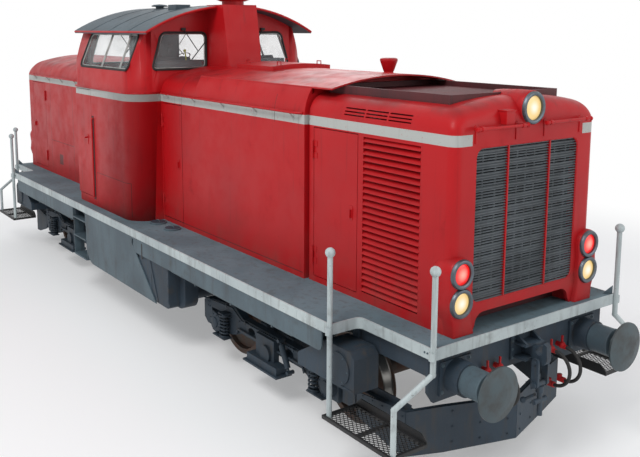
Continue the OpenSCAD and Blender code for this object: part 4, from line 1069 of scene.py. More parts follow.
def makeRoofTrim():
    look = roofLook
    x0, x1 = look["x"]
    half, gap = look["eaveHalf"], look["stackHalf"]
    mid = -17
    path = [roofPoint(x1, -gap - (half - gap) * k / 10, mid) for k in range(11)]
    path += [roofPoint(x1 + (x0 - x1) * k / 6, -half, mid) for k in range(1, 7)]
    path += [roofPoint(x0, -half + 2 * half * k / 20, mid) for k in range(1, 21)]
    path += [roofPoint(x0 + (x1 - x0) * k / 6, half, mid) for k in range(1, 7)]
    path += [roofPoint(x1, half - (half - gap) * k / 10, mid) for k in range(1, 11)]
    bm = bmesh.new()
    addTube(bm, path, look["trim"], 8)
    makePiece("roofTrim", bm, "red")
    fit = bmesh.new()
    (bx0, bx1), (by0, by1) = look["boxX"], look["boxY"]
    low = min(roofPoint(0, by0)[2], roofPoint(0, by1)[2]) - 6
    addBlock(fit, (bx0, by0, low), (bx1, by1, roofPoint(0, by1)[2] + 34), 10)
    vx, vy = look["ventAt"]
    vz = roofPoint(0, vy)[2]
    addLathe(fit, (vx, vy, vz), (0, 0, 1), [(0, -20), (60, -20), (60, 26), (118, 30), (124, 40), (96, 56), (0, 66)], 28)
    # Standing seams across the roof
    for x in (-1420, -760, -100):
        rings = []
        for dx in (-14, 14):
            low = [roofPoint(x + dx, -half + 2 * half * k / 24, -4) for k in range(25)]
            high = [roofPoint(x + dx, half - 2 * half * k / 24, 5) for k in range(25)]
            rings.append(low + high)
        addLoft(fit, rings)
    makePiece("roofFittings", fit, "roof")


makeRoofTrim()
print("grille, trays, cab and roof made")

# ---- hoods with ball-rounded corners, cut like the CAD hoods

hoodLook = {"wall": 40, "foot": 1391, "archHalf": 645, "archTop": 1545, "archCorner": 110,
            "front": {"half": 947, "x": (3506, 5529), "shoulder": 3135, "top": 3410, "radius": 205, "edge": 95},
            "rear": {"half": 1003, "x": (2043.3, 5540), "shoulder": 3110, "top": 3490, "radius": 280, "edge": 75}}


def hoodSection(shape, wall, foot, side=0.0, drop=0.0):
    # Section of the hood, pulled in at the sides and pressed down at its end
    r, a = shape["radius"], shape["half"] - shape["radius"]
    s = shape["top"] - shape["shoulder"]
    crown = (a * a + s * s - r * r) / (2 * (s - r))
    half = math.asin(a / (crown - r))
    points = [(shape["half"] - wall, foot)]
    for k in range(11):
        t = (math.pi / 2 - half) * k / 10
        points.append((a + (r - wall) * math.cos(t), shape["shoulder"] + (r - wall) * math.sin(t)))
    for k in range(1, 12):
        t = half * (1 - k / 11)
        points.append(((crown - wall) * math.sin(t), shape["top"] - crown + (crown - wall) * math.cos(t)))
    share = 1 - side / (shape["half"] - wall)
    squash = 1 - drop / (s - wall)
    points = [(y * share, z if z <= shape["shoulder"] else shape["shoulder"] + (z - shape["shoulder"]) * squash)
              for y, z in points]
    return points + [(-y, z) for y, z in reversed(points[:-1])]


def addHoodForm(bm, shape, x0, wall, foot, sx):
    end = shape["x"][1] - wall
    r, edge = shape["radius"] - wall, shape["edge"] - wall
    rings = [hoodSection(shape, wall, foot)]
    stations = [x0]
    for k in range(19):
        t = math.pi / 2 * k / 18
        x = end - r + r * math.sin(t)
        into = max(x - (end - edge), 0.0)
        rings.append(hoodSection(shape, wall, foot, edge - math.sqrt(edge ** 2 - into ** 2), r * (1 - math.cos(t))))
        stations.append(x)
    addLoft(bm, [[(sx * x, y, z) for y, z in ring] for x, ring in zip(stations, rings)])


def archOutline():
    look = hoodLook
    half, top, r = look["archHalf"], look["archTop"], look["archCorner"]
    points = [(-half - 26, look["foot"] - 2), (-half, look["foot"] + 46)]
    for k in range(7):
        a = math.radians(180 - 15 * k)
        points.append((-half + r + r * math.cos(a), top - r + r * math.sin(a)))
    return points + [(-y, z) for y, z in reversed(points)]


def makeHood(name, shape, sx, door, replaced, extras=()):
    look = hoodLook
    halfWidth, (x0, x1) = shape["half"], shape["x"]
    outer = bmesh.new()
    addHoodForm(outer, shape, x0, 0, look["foot"], sx)
    cutters = []
    inner = bmesh.new()
    addHoodForm(inner, shape, x0 + look["wall"], look["wall"], look["foot"] - 30, sx)
    cutters.append(solidFrom(inner))
    arch = bmesh.new()
    addPrism(arch, archOutline(), "yz", sx * (x1 - 200), sx * (x1 + 10))
    cutters.append(solidFrom(arch))
    doors = bmesh.new()
    for sy in (1, -1):
        ys = sorted((sy * (halfWidth - 200), sy * (halfWidth + 50)))
        xs = sorted((sx * door[0], sx * door[1]))
        addBlock(doors, (xs[0], ys[0], door[2]), (xs[1], ys[1], door[3]))
    cutters.append(solidFrom(doors))
    for extra in extras:
        cutters.append(solidFrom(extra))
    mesh = carve(solidFrom(outer), cutters)
    placeMesh(name, mesh, "red", smooth=30.0, replaces=replaced)


def frontExtras():
    grille, sides, well, slots = bmesh.new(), bmesh.new(), bmesh.new(), bmesh.new()
    addPrism(grille, roundedOutline((-688, 1631), (688, 3002), 90, 8), "yz", 5300, 5560)
    for sy in (1, -1):
        ys = sorted((sy * 840, sy * 960))
        addBlock(sides, (4340, ys[0], 1462), (5150, ys[1], 3012))
        # Slots in the shoulder, three rows of three
        for row in range(3):
            for k in range(3):
                x = 4062 + k * 318
                z = 3178 + row * 31
                y = 742 + 205 * math.cos(math.asin((z - 3135) / 205))
                spread = sorted((sy * (y - 70), sy * (y + 14)))
                addBlock(slots, (x, spread[0], z - 6), (x + 296, spread[1], z + 7))
    addBlock(well, (3562, -696, 3240), (5214, 696, 3560))
    return grille, sides, well, slots


def makeFrontHood():
    makeHood("radiatorHoodSkin", hoodLook["front"], 1, (3580, 4285, 1450, 3010), ("radiator_hood",), frontExtras())
    makeHood("rearHoodSkin", hoodLook["rear"], -1, (4561, 5255, 1450, 3010), ("rear_hood",))
    # Hinge barrels that the door leaves turn in
    bm = bmesh.new()
    for halfWidth, sx, x in ((947, 1, 3580), (1003, -1, 4561)):
        for sy in (1, -1):
            for z in (1650, 2750):
                addTube(bm, [(sx * x, sy * (halfWidth + 13), z), (sx * x, sy * (halfWidth + 13), z + 60)], 11, 12)
                xs = sorted((sx * (x - 42), sx * (x - 1)))
                ys = sorted((sy * (halfWidth - 2), sy * (halfWidth + 5)))
                addBlock(bm, (xs[0], ys[0], z), (xs[1], ys[1], z + 60), 1)
    makePiece("hingeBarrels", bm, "red")


makeFrontHood()

# ---- lamp cowls and the faired headlight

cowlLook = {"lampY": 869, "redZ": 1947, "whiteZ": 1691, "radius": 139, "faceX": 5573, "footZ": 1393}


def cowlOutline(grow):
    # Round over both lamps, then running down to a flared foot
    look = cowlLook
    r, y0 = look["radius"] + grow, look["lampY"]
    points = []
    for k in range(13):
        a = math.radians(-8 + 196 * k / 12)
        points.append((y0 + r * math.cos(a), look["redZ"] + r * math.sin(a)))
    waist = (look["redZ"] + look["whiteZ"]) / 2
    points.append((y0 - r * 0.90, waist))
    points.append((y0 - r, look["whiteZ"]))
    points.append((y0 - r * 0.93, look["whiteZ"] - 70))
    points.append((y0 - r * 0.98, look["whiteZ"] - 150))
    points.append((y0 - r * 1.25, look["footZ"]))
    points.append((y0 + r * 0.55, look["footZ"]))
    points.append((y0 + r * 0.62, look["whiteZ"] - 170))
    points.append((y0 + r * 0.86, look["whiteZ"] - 90))
    points.append((y0 + r, look["whiteZ"]))
    points.append((y0 + r * 0.90, waist))
    return points


def makeCowls():
    look = cowlLook
    bm = bmesh.new()
    for sx, sy in fourCorners:
        rings = []
        for x, grow, pull in ((5215, -60, 120), (5290, -26, 50), (5380, -8, 14), (5470, 0, 0),
                              (look["faceX"] - 14, 0, 0), (look["faceX"] - 4, -4, 0), (look["faceX"], -12, 0)):
            rings.append([(sx * x, sy * (y - pull), z) for y, z in cowlOutline(grow)])
        addLoft(bm, rings)
    for sx in (1, -1):
        rings = []
        for x, r, z in ((5120, 60, 3385), (5200, 92, 3362), (5300, 124, 3334), (5400, 146, 3316), (5470, 153, 3308),
                        (5532, 154, 3306), (5540, 150, 3306), (5542, 142, 3306)):
            rings.append([(sx * x, r * math.cos(2 * math.pi * k / 40), z + r * math.sin(2 * math.pi * k / 40))
                          for k in range(40)])
        addLoft(bm, rings)
    makePiece("lampCowls", bm, "red", smooth=50.0, replaces=("lamp_housings",))
    # Thick rounded rims round every lamp
    rims = bmesh.new()
    profile = [(94, 0), (94, 22), (100, 28), (112, 31), (124, 27), (132, 14), (132, 0)]
    for sx in (1, -1):
        for sy in (1, -1):
            for z in (look["redZ"], look["whiteZ"]):
                addLathe(rims, (sx * 5571, sy * look["lampY"], z), (sx, 0, 0), profile, 48, True)
        addLathe(rims, (sx * 5540, 0, 3306), (sx, 0, 0), [(r + 15, d) for r, d in profile], 48, True)
    makePiece("lampRims", rims, "lampRim", replaces=("lamp_rings",))
    # Knobs on the ends of the handrails over the grille
    knobs = bmesh.new()
    for face, sx in ((5529, 1), (5540, -1)):
        for y in (-760, -130, 130, 760):
            addLathe(knobs, (sx * (face + 71), y - 16, 3170), (0, 1, 0),
                     [(0, 0), (17, 3), (24, 16), (17, 29), (0, 32)], 16)
        for y in (-700, -190, 190, 700):
            addLathe(knobs, (sx * (face + 71), y - 20, 3170), (0, 1, 0),
                     [(0, 0), (20, 2), (23, 20), (20, 38), (0, 40)], 16)
            addLathe(knobs, (sx * (face - 2), y, 3170), (sx, 0, 0), [(0, 0), (30, 0), (28, 9), (13, 12), (0, 12)], 20)
    makePiece("railKnobs", knobs, "red")


makeCowls()

# ---- fan well: boards, edge strips and the grating over the fan

wellLook = {"x": (3540, 5240), "half": 722, "top": 3430, "low": 3300, "board": 24, "fanX": 4380, "fanRadius": 500,
            "slats": 17}


def makeWell():
    look = wellLook
    (x0, x1), half, low, top, t = look["x"], look["half"], look["low"], look["top"], look["board"]
    bm = bmesh.new()
    addBlock(bm, (x0, -half, low), (x1, -half + t, top), 2)
    addBlock(bm, (x0, half - t, low), (x1, half, top), 2)
    addBlock(bm, (x0, -half + t, low), (x0 + t, half - t, top), 2)
    addBlock(bm, (x1 - t, -half + t, low), (x1, half - t, top), 2)
    # Fan ring, arms and bearing under the floor
    fan, radius = look["fanX"], look["fanRadius"]
    addLathe(bm, (fan, 0, 3130), (0, 0, 1),
             [(radius + 20, 0), (radius + 34, 0), (radius + 34, 150), (radius + 20, 150)], 64, True)
    addLathe(bm, (fan, 0, 3130), (0, 0, 1), [(32, 0), (62, 0), (62, 48), (32, 48)], 32, True)
    for k in range(4):
        a = math.pi / 4 + math.pi / 2 * k
        c, d = math.cos(a), math.sin(a)
        ring = [(58, -20), (58, 20), (radius + 24, 20), (radius + 24, -20)]
        addLoft(bm, [[(fan + c * u - d * v, d * u + c * v, z) for u, v in ring] for z in (3132, 3178)])
    # Boards, floor and slats of the well take the darker well red, painted shade inside the well
    makePiece("fanCoaming", bm, "well", replaces=("fan_coaming",))
    floor = bmesh.new()
    addBlock(floor, (x0 + t, -half + t, 3282), (x1 - t, half - t, 3300))
    hole = bmesh.new()
    addTube(hole, [(fan, 0, 3200), (fan, 0, 3400)], radius + 24, 64)
    placeMesh("wellFloor", carve(solidFrom(floor), [solidFrom(hole)]), "well")
    slats = []
    for k in range(look["slats"]):
        y = (half - 60) * (2 * k / (look["slats"] - 1) - 1)
        slats.append((((x0 + x1) / 2, y, 3366), (x1 - x0 - 2 * t, 52, 9), (math.radians(14), 0, 0)))
    for k in range(6):
        x = x0 + 150 + (x1 - x0 - 300) * k / 5
        slats.append(((x, 0, 3346), (22, 2 * half - 2 * t, 26), (0, 0, 0)))
    grow("wellSlats", "bars", slats, "well")


makeWell()

# ---- hood roof plates, handrails, vent and box over the grille

plateLook = {"x": (1120, 3806), "half": 894, "edgeZ": 3408, "topZ": 3520, "thick": 16,
             "hatch": (1240, 2060), "hatchHalf": 430, "railZ": 3139, "railOut": 52, "rail": 13}


def arcRow(x, half, edgeZ, topZ, steps=16):
    # Points of an arch from one side to the other at a station
    rise = topZ - edgeZ
    radius = (half * half + rise * rise) / (2 * rise)
    turn = math.asin(half / radius)
    return [(x, radius * math.sin(turn * (2 * k / steps - 1)),
             topZ - radius + radius * math.cos(turn * (2 * k / steps - 1))) for k in range(steps + 1)]


def addArch(bm, x0, x1, half, edgeZ, topZ, thick):
    rings = []
    for x in (x0, x1):
        low = [(a, b, c - thick) for a, b, c in reversed(arcRow(x, half, edgeZ, topZ))]
        rings.append(arcRow(x, half, edgeZ, topZ) + low)
    addLoft(bm, rings)


def makeRoofPlates():
    look = plateLook
    (x0, x1), half, edge, top = look["x"], look["half"], look["edgeZ"], look["topZ"]
    bm = bmesh.new()
    addArch(bm, x0, x1, half, edge, top, look["thick"])
    for sy in (1, -1):
        # Shoulder that runs up to the edge of the plate
        outline = [(985, 3150), (976, 3200), (959, 3262), (936, 3318), (912, 3362), (890, 3396), (862, 3398),
                   (862, 3300), (930, 3160)]
        addLoft(bm, [[(x, sy * y, z) for y, z in outline] for x in (x0, 3468)])
    addArch(bm, x0, x0 + 16, half - 10, edge - 8, top - 8, 120)
    addArch(bm, 3440, 3468, half - 10, edge - 8, top - 8, 120)
    hx0, hx1 = look["hatch"]
    addArch(bm, hx0, hx1, look["hatchHalf"], 3546, 3572, 70)
    for x in (hx0 + 60, hx1 - 60):
        for sy in (1, -1):
            addTube(bm, [(x - 40, sy * 300, 3548), (x - 40, sy * 300, 3596), (x + 40, sy * 300, 3596),
                         (x + 40, sy * 300, 3548)], 7, 8)
    # Vent: a cone that widens upward on a short stem
    addLathe(bm, (3300, 300, 3480), (0, 0, 1),
             [(0, 0), (54, 0), (54, 40), (60, 48), (96, 150), (100, 168), (96, 182), (80, 190), (0, 194)], 36)
    makePiece("roofPlates", bm, "red", smooth=30.0, replaces=("hood_fittings",))
    rails = bmesh.new()
    z, out, r = look["railZ"], look["railOut"], look["rail"]
    for sy in (1, -1):
        for halfWidth, a, b in ((987, 240, 3430), (1003, -5180, -2110)):
            y = sy * (halfWidth + out)
            addTube(rails, [(a, sy * (halfWidth + 2), z), (a + 30, y, z), (b - 30, y, z), (b, sy * (halfWidth + 2), z)], r, 10)
            count = 5
            for k in range(count):
                x = a + 160 + (b - a - 320) * k / (count - 1)
                addTube(rails, [(x, y, z), (x, sy * (halfWidth + 3), z - 66)], 8, 6)
                addTube(rails, [(x, sy * (halfWidth - 8), z - 66), (x, sy * (halfWidth + 7), z - 66)], 18, 10)
            # Rain lip behind the handrail
            ys = sorted((sy * (halfWidth - 6), sy * (halfWidth + 9)))
            addBlock(rails, (a + 10, ys[0], 3126), (b, ys[1], 3132), 1)
    for face, sx in ((5529, 1), (5540, -1)):
        for y0, y1 in ((-760, -130), (130, 760)):
            x = sx * (face + 71)
            addTube(rails, [(x, y0, 3170), (x, y1, 3170)], 15, 12)
            for y in (y0 + 60, y1 - 60):
                addTube(rails, [(x, y, 3170), (sx * (face - 6), y, 3170)], 11, 8)
                # Flat stay that runs down the face
                xs = sorted((sx * (face - 4), sx * (face + 8)))
                addBlock(rails, (xs[0], y - 15, 3040 if sx > 0 else 3060), (xs[1], y + 15, 3160), 1)
        xs = sorted((sx * (face - 70), sx * (face + 62)))
        addBlock(rails, (xs[0], -400, 3186), (xs[1], -290, 3302), 6)
        xs = sorted((sx * (face - 60), sx * (face + 68)))
        addBlock(rails, (xs[0], -406, 3300), (xs[1], -284, 3310), 3)
    makePiece("hoodRails", rails, "red")
    # Inner panel behind the arch under the grille, in the darker well red: painted shade behind the arch
    panel = bmesh.new()
    for sx, x in ((1, 5310), (-1, 5320)):
        xs = sorted((sx * x, sx * (x + 14)))
        addBlock(panel, (xs[0], -700, 1392), (xs[1], 700, 1600), 2)
    makePiece("archPanels", panel, "well")
    # Lighter sleeves and end rings of the buffers
    sleeves = bmesh.new()
    for sx, sy in fourCorners:
        addLathe(sleeves, (sx * 5694, sy * 875, 1050), (sx, 0, 0),
                 [(92, 0), (129, 0), (133, 8), (133, 190), (137, 196), (137, 214), (131, 218), (92, 218)], 40, True)
    makePiece("bufferSleeves", sleeves, "frame")


makeRoofPlates()

# ---- rail guards with folded edges and ribs

guardLook = {"tip": 5505, "shoulder": (5146, 1070), "wingEnd": (4500, 1100), "low": 152, "top": 598,
             "plate": 12, "lip": 42}


def makeGuard(name, sx, body, replaced):
    look = guardLook
    bm = bmesh.new()
    low, top, t = look["low"], look["top"], look["plate"]
    tip, (shx, shy), (wx, wy) = look["tip"], look["shoulder"], look["wingEnd"]

    def plate(a, b, z0a, z1a, z0b, z1b, sy):
        # An upright plate between two plan points, with its own heights at each
        ax, ay, bx, by = sx * a[0], sy * a[1], sx * b[0], sy * b[1]
        length = math.hypot(bx - ax, by - ay)
        nx, ny = -(by - ay) / length * t / 2, (bx - ax) / length * t / 2
        ring = [(ax, ay, z0a), (bx, by, z0b), (bx, by, z1b), (ax, ay, z1a)]
        addLoft(bm, [[(x + nx, y + ny, z) for x, y, z in ring], [(x - nx, y - ny, z) for x, y, z in ring]])

    def lip(a, b, za, zb, sy, depth):
        ax, ay, bx, by = sx * a[0], sy * a[1], sx * b[0], sy * b[1]
        length = math.hypot(bx - ax, by - ay)
        nx, ny = (by - ay) / length, -(bx - ax) / length
        inward = -1 if nx * sx > 0 else 1
        dx, dy = nx * inward * depth, ny * inward * depth
        top4 = [(ax, ay, za), (bx, by, zb), (bx + dx, by + dy, zb), (ax + dx, ay + dy, za)]
        addLoft(bm, [[(x, y, z) for x, y, z in top4], [(x, y, z - 8) for x, y, z in top4]])

    for sy in (1, -1):
        knee = (tip - 250, shy * 0.66)
        plate((tip, 0), knee, low + 34, top, low, top, sy)
        plate(knee, (shx, shy), low, top, low + 20, top, sy)
        plate((shx, shy), (shx - 190, shy + 9), low + 20, top, low + 34, top - 6, sy)
        plate((shx - 190, shy + 9), (wx, wy), low + 34, top - 6, low + 170, top - 40, sy)
        lip((tip, 0), knee, top, top, sy, look["lip"])
        lip(knee, (shx, shy), top, top, sy, look["lip"])
        lip((tip, 0), knee, low + 42, low + 8, sy, 30)
        # Ribs behind the plates, bolts on the face
        for share in (0.25, 0.5, 0.75):
            x = tip - 250 * share
            y = sy * shy * 0.66 * share
            addBlock(bm, (min(sx * (x - 60), sx * (x - 8)), y - 5, low + 60), (max(sx * (x - 60), sx * (x - 8)), y + 5, top - 10), 1)
        ys = sorted((sy * 930, sy * 1062))
        xs = sorted((sx * 4480, sx * 5138))
        addBlock(bm, (xs[0], ys[0], 562), (xs[1], ys[1], 574), 2)
        addBlock(bm, (xs[0], sy * 1000 - 8, 575), (xs[1], sy * 1000 + 8, 640), 2)
    # Splice plate at the tip
    addBlock(bm, (min(sx * (tip - 34), sx * (tip - 4)), -26, low + 40), (max(sx * (tip - 34), sx * (tip - 4)), 26, top - 4), 5)
    makePiece(name, bm, "underframe", body, replaces=(replaced,))
    bolts = []
    for sy in (1, -1):
        for share, rows in ((0.12, 3), (0.5, 3), (0.88, 3)):
            for row in range(rows):
                x = tip - 250 * share + 7
                y = sy * (shy * 0.66 * share + 2)
                direction = (sx * 0.94, sy * 0.33, 0)
                bolts.append(((sx * x, y, low + 90 + row * 150), (13, 13, 9), facing(direction)))
        for k in range(5):
            bolts.append(((sx * (shx - 40 - k * 130), sy * (shy + 9 + k * 5), 545), (12, 12, 9), facing((0, sy, 0))))
    grow(name + "Bolts", "studs", bolts, "underframe", body)


makeGuard("frontRailGuard", 1, "bogie_front", "rail_guard_front")
makeGuard("rearRailGuard", -1, "bogie_rear", "rail_guard_rear")

# ---- bogies: springs, covers, brake gear and pipes

bogieLook = {"pivot": 3000, "axle": 1100, "sideY": 1110, "axleZ": 475, "springX": 895, "springY": 1170,
             "spring": (50, 50, 250), "wire": 0.011, "turns": 6.0, "pipe": 15}


def makeBogieDetails(name, sx, body):
    look = bogieLook
    px = sx * look["pivot"]
    bm, coils, bolts, covers = bmesh.new(), [], [], bmesh.new()
    for ax in (-look["axle"], look["axle"]):
        inner = ax - math.copysign(look["axle"] - look["springX"], ax)
        for sy in (1, -1):
            y = sy * look["springY"]
            # Spring seat, cap and guide pin
            addLathe(bm, (px + inner, y, 352), (0, 0, 1), [(0, 0), (66, 0), (66, 14), (30, 20), (0, 20)], 20)
            addLathe(bm, (px + inner, y, 610), (0, 0, 1), [(0, 0), (62, 0), (66, 10), (66, 24), (0, 24)], 20)
            addTube(bm, [(px + inner, y, 360), (px + inner, y, 630)], 17, 10)
            ys = sorted((sy * (look["sideY"] - 6), sy * (look["springY"] + 48)))
            addBlock(bm, (px + inner - 60, ys[0], 634), (px + inner + 60, ys[1], 652), 4)
            xs = sorted((inner - math.copysign(70, ax), ax))
            addBlock(bm, (px + xs[0], ys[0], 336), (px + xs[1], ys[1] if sy > 0 else ys[1], 352), 4)
            coils.append(((px + inner, y, 366), look["spring"], (0, 0, 0)))
            # Domed axle cover with its bolts
            out = sy * (look["sideY"] + 58)
            addLathe(covers, (px + ax, out, look["axleZ"]), (0, sy, 0),
                     [(0, 0), (119, 0), (119, 8), (100, 12), (66, 14), (62, 26), (40, 34), (0, 36)], 36)
            for k in range(8):
                a = 2 * math.pi * (k + 0.5) / 8
                bolts.append(((px + ax + 104 * math.cos(a), out + sy * 12, look["axleZ"] + 104 * math.sin(a)),
                              (8, 8, 10), facing((0, sy, 0))))
            # Brake block and its hanger on the inner side of the wheel
            block = []
            for k in range(7):
                a = math.radians(-30 + 60 * k / 6)
                block.append((px + ax - math.copysign(484 * math.cos(a), ax), look["axleZ"] + 484 * math.sin(a)))
            for k in range(7):
                a = math.radians(30 - 60 * k / 6)
                block.append((px + ax - math.copysign(530 * math.cos(a), ax), look["axleZ"] + 530 * math.sin(a)))
            ends = sorted((sy * 700, sy * 785))
            addPrism(bm, block, "xz", ends[0], ends[1])
            hang = px + ax - math.copysign(548, ax)
            addTube(bm, [(hang, sy * 742, look["axleZ"]), (hang - math.copysign(20, ax), sy * 742, 700)], 15, 8)
            addTube(bm, [(hang, sy * 742, look["axleZ"]), (hang, sy * 742, 330)], 13, 8)
    for sy in (1, -1):
        # Brake rod and air pipe along the side, with clips
        y = sy * (look["sideY"] + 20)
        addTube(bm, [(px - 680, y, 452), (px - 640, y, 520), (px + 640, y, 520), (px + 680, y, 452)], look["pipe"], 10)
        addTube(bm, [(px - 1440, y, 690), (px - 760, y, 735), (px - 560, y, 640), (px + 560, y, 640),
                     (px + 760, y, 735), (px + 1440, y, 690)], 10, 8)
        for x in (-1300, -900, -480, 480, 900, 1300):
            z = 640 if abs(x) < 560 else 735 - (abs(x) - 760) * 0.066
            ys = sorted((sy * (look["sideY"] - 2), sy * (look["sideY"] + 34)))
            addBlock(bm, (px + x - 14, ys[0], z - 16), (px + x + 14, ys[1], z + 16), 3)
        for x in (-1380, -1340, -860, -820, -640, 640, 820, 860, 1340, 1380):
            for z in ((600, 650) if abs(x) > 700 else (500, 610)):
                bolts.append(((px + x, sy * look["sideY"], z), (12, 12, 10), facing((0, sy, 0))))
        # Shock absorber leaning beside the middle
        addTube(bm, [(px + 420, sy * 1160, 420), (px + 300, sy * 1160, 640)], 32, 12)
        addTube(bm, [(px + 440, sy * 1160, 384), (px + 280, sy * 1160, 676)], 13, 8)
        for x, z in ((444, 378), (276, 682)):
            ys = sorted((sy * (look["sideY"] - 6), sy * 1192))
            addTube(bm, [(px + x, ys[0], z), (px + x, ys[1], z)], 22, 12)
    for ax in (-look["axle"], look["axle"]):
        hang = ax - math.copysign(548, ax)
        addTube(bm, [(px + hang, -790, 340), (px + hang, 790, 340)], 20, 10)
    makePiece(name + "BrakeGear", bm, "underframe", body)
    makePiece(name + "AxleCovers", covers, "underframe", body)
    grow(name + "Springs", "springs", coils, "underframe", body, values={"Turns": look["turns"], "Wire": look["wire"]})
    grow(name + "Bolts", "studs", bolts, "underframe", body)


makeBogieDetails("frontBogie", 1, "bogie_front")
makeBogieDetails("rearBogie", -1, "bogie_rear")

# ---- walkway and end fittings: gussets, bolts, filler rings, pipes under the edge

walkLook = {"top": 1391, "posts": ((4700, 1590), (5632, 1238)), "gusset": 90}


def makeWalkwayFittings():
    look = walkLook
    bm, dark, bolts = bmesh.new(), bmesh.new(), []
    for sx, sy in fourCorners:
        for (x, y), (dx, dy) in zip(look["posts"], ((-0.71, -0.71), (-0.71, -0.71))):
            # Triangular gusset from the deck to the post
            ox, oy = sx * (x + dx * 8), sy * (y + dy * 8)
            ix, iy = sx * (x + dx * 100), sy * (y + dy * 100)
            tx, ty = -(iy - oy), (ix - ox)
            n = math.hypot(tx, ty)
            tx, ty = tx / n * 5, ty / n * 5
            ring = [(ox, oy, look["top"] + 1), (ix, iy, look["top"] + 1), (ox, oy, look["top"] + 86)]
            addLoft(dark, [[(a + tx, b + ty, c) for a, b, c in ring], [(a - tx, b - ty, c) for a, b, c in ring]])
        for x, y, direction in ((4700 - 40, 1590, (0, sy, 0)), (5560, 1250, (0, sy, 0))):
            for shift in (-16, 16):
                bolts.append(((sx * (x + shift), sy * (y + 1), 1341), (9, 9, 9), facing(direction)))
        # Joints of the rim plates
        for x in (1180, 2680, 4120):
            ys = sorted((sy * 1588, sy * 1593))
            addBlock(bm, (min(sx * x, sx * (x + 60)), ys[0], 1294), (max(sx * x, sx * (x + 60)), ys[1], 1392), 1)
    for sy in (1, -1):
        # Rings and grips of the filler caps
        for x in (330, 750):
            addLathe(dark, (x, sy * 1150, 1391), (0, 0, 1),
                     [(96, 0), (112, 0), (112, 16), (104, 22), (96, 22)], 36, True)
            addTube(dark, [(x - 40, sy * 1150, 1414), (x - 40, sy * 1150, 1432), (x + 40, sy * 1150, 1432),
                           (x + 40, sy * 1150, 1414)], 7, 8)
        # Conduit under the edge of the walkway with its clips
        addTube(dark, [(-4400, sy * 1520, 1062), (-1860, sy * 1520, 1062)], 16, 10)
        addTube(dark, [(1180, sy * 1520, 1062), (4020, sy * 1520, 1062)], 16, 10)
        for x in (-4300, -3500, -2700, -1960, 1280, 2080, 2880, 3680):
            addBlock(dark, (x - 12, sy * 1520 - 22, 1040), (x + 12, sy * 1520 + 22, 1100), 4)
    makePiece("rimJoints", bm, "rim")
    makePiece("walkwayFittings", dark, "frame")
    # Bolts of the buffers, the couplings and the sandbox covers
    for sx, sy in fourCorners:
        for dy, dz in ((-160, -120), (160, -120), (-160, 120), (160, 120)):
            bolts.append(((sx * 5549, sy * 875 + dy, 1050 + dz), (17, 17, 14), facing((sx, 0, 0))))
        for k in range(6):
            a = 2 * math.pi * k / 6
            bolts.append(((sx * (4720 + 128 * math.cos(a)), sy * 1512, 970 + 128 * math.sin(a)), (8, 8, 8),
                          facing((0, sy, 0))))
    for sx in (1, -1):
        for y in (-150, 150):
            for z in (1030, 1110, 1190, 1236):
                bolts.append(((sx * 5551, y, z), (12, 12, 11), facing((sx, 0, 0))))
        for y in (-1100, -940, -700, -460, -280, 280, 460, 700, 940, 1100):
            bolts.append(((sx * 5531, y, 1286), (11, 11, 10), facing((sx, 0, 0))))
    grow("frameBolts", "studs", bolts, "frame")
    # Sandbox lids with a bent handle
    lids = bmesh.new()
    slope = math.atan2(260, 420)
    for sx, sy in fourCorners:
        cx, cy, cz = sx * 4290, sy * 1357, 1040
        nx, nz = -math.sin(slope), math.cos(slope)
        addLathe(lids, (cx, cy, cz), (sx * nx, 0, nz), [(0, 20), (88, 20), (92, 30), (88, 40), (40, 48), (0, 50)], 28)
        hx, hz = math.cos(slope), math.sin(slope)
        arc = []
        for k in range(9):
            a = math.pi * k / 8
            along, up = 70 * math.cos(a), 34 + 60 * math.sin(a)
            arc.append((cx + sx * (hx * along + nx * up), cy, cz + hz * along + nz * up))
        addTube(lids, arc, 8, 8)
        ribs = sorted((sy * 1498, sy * 1506))
        addBlock(lids, (min(sx * 4520, sx * 4912), ribs[0], 806), (max(sx * 4520, sx * 4912), ribs[1], 822), 2)
    makePiece("sandboxLids", lids, "underframe")


makeWalkwayFittings()
print("hoods, lamps, guards, bogies and walkway made")

# ---- front corners of the fuel tank and slots in the valance

tankLook = {"x": (596, 1452), "y": (1404, 1560), "z": (573, 1086), "slot": ((700, 1045), (732, 1252)), "skinY": 1577.7}


def makeTankCorners():
    look = tankLook
    (x0, x1), (y0, y1), (z0, z1) = look["x"], look["y"], look["z"]
    bm, slots, bolts = bmesh.new(), bmesh.new(), []
    for sy in (1, -1):
        ys = sorted((sy * y0, sy * y1))
        outline = [(x0, z1), (x0, z0)] + [(x1 - 60 + 60 * math.sin(math.radians(15 * k)),
                                           z0 + 60 - 60 * math.cos(math.radians(15 * k))) for k in range(7)] + [(x1, z1)]
        addPrism(bm, outline, "xz", ys[0], ys[1])
        ribs = sorted((sy * (y1 - 2), sy * (y1 + 9)))
        addPrism(bm, [(905, z1 - 6), (940, z1 - 6), (1150, z0 + 12), (1112, z0 + 12)], "xz", ribs[0], ribs[1])
        addPrism(bm, [(x1 - 36, z1 - 6), (x1 - 8, z1 - 6), (x1 - 8, z0 + 70), (x1 - 36, z0 + 58)], "xz", ribs[0], ribs[1])
        for k in range(5):
            bolts.append(((x1 - 22, sy * (y1 + 8), z0 + 110 + k * 95), (9, 9, 8), facing((0, sy, 0))))
        edges = sorted((sy * (look["skinY"] - 2), sy * (look["skinY"] + 1.5)))
        addPrism(slots, roundedOutline(*look["slot"], 15.5, 6), "xz", edges[0], edges[1])
    makePiece("tankCorners", bm, "underframe")
    makePiece("valanceSlots", slots, "iron")
    grow("tankBolts", "studs", bolts, "underframe")


makeTankCorners()

# ---- floor, light and background

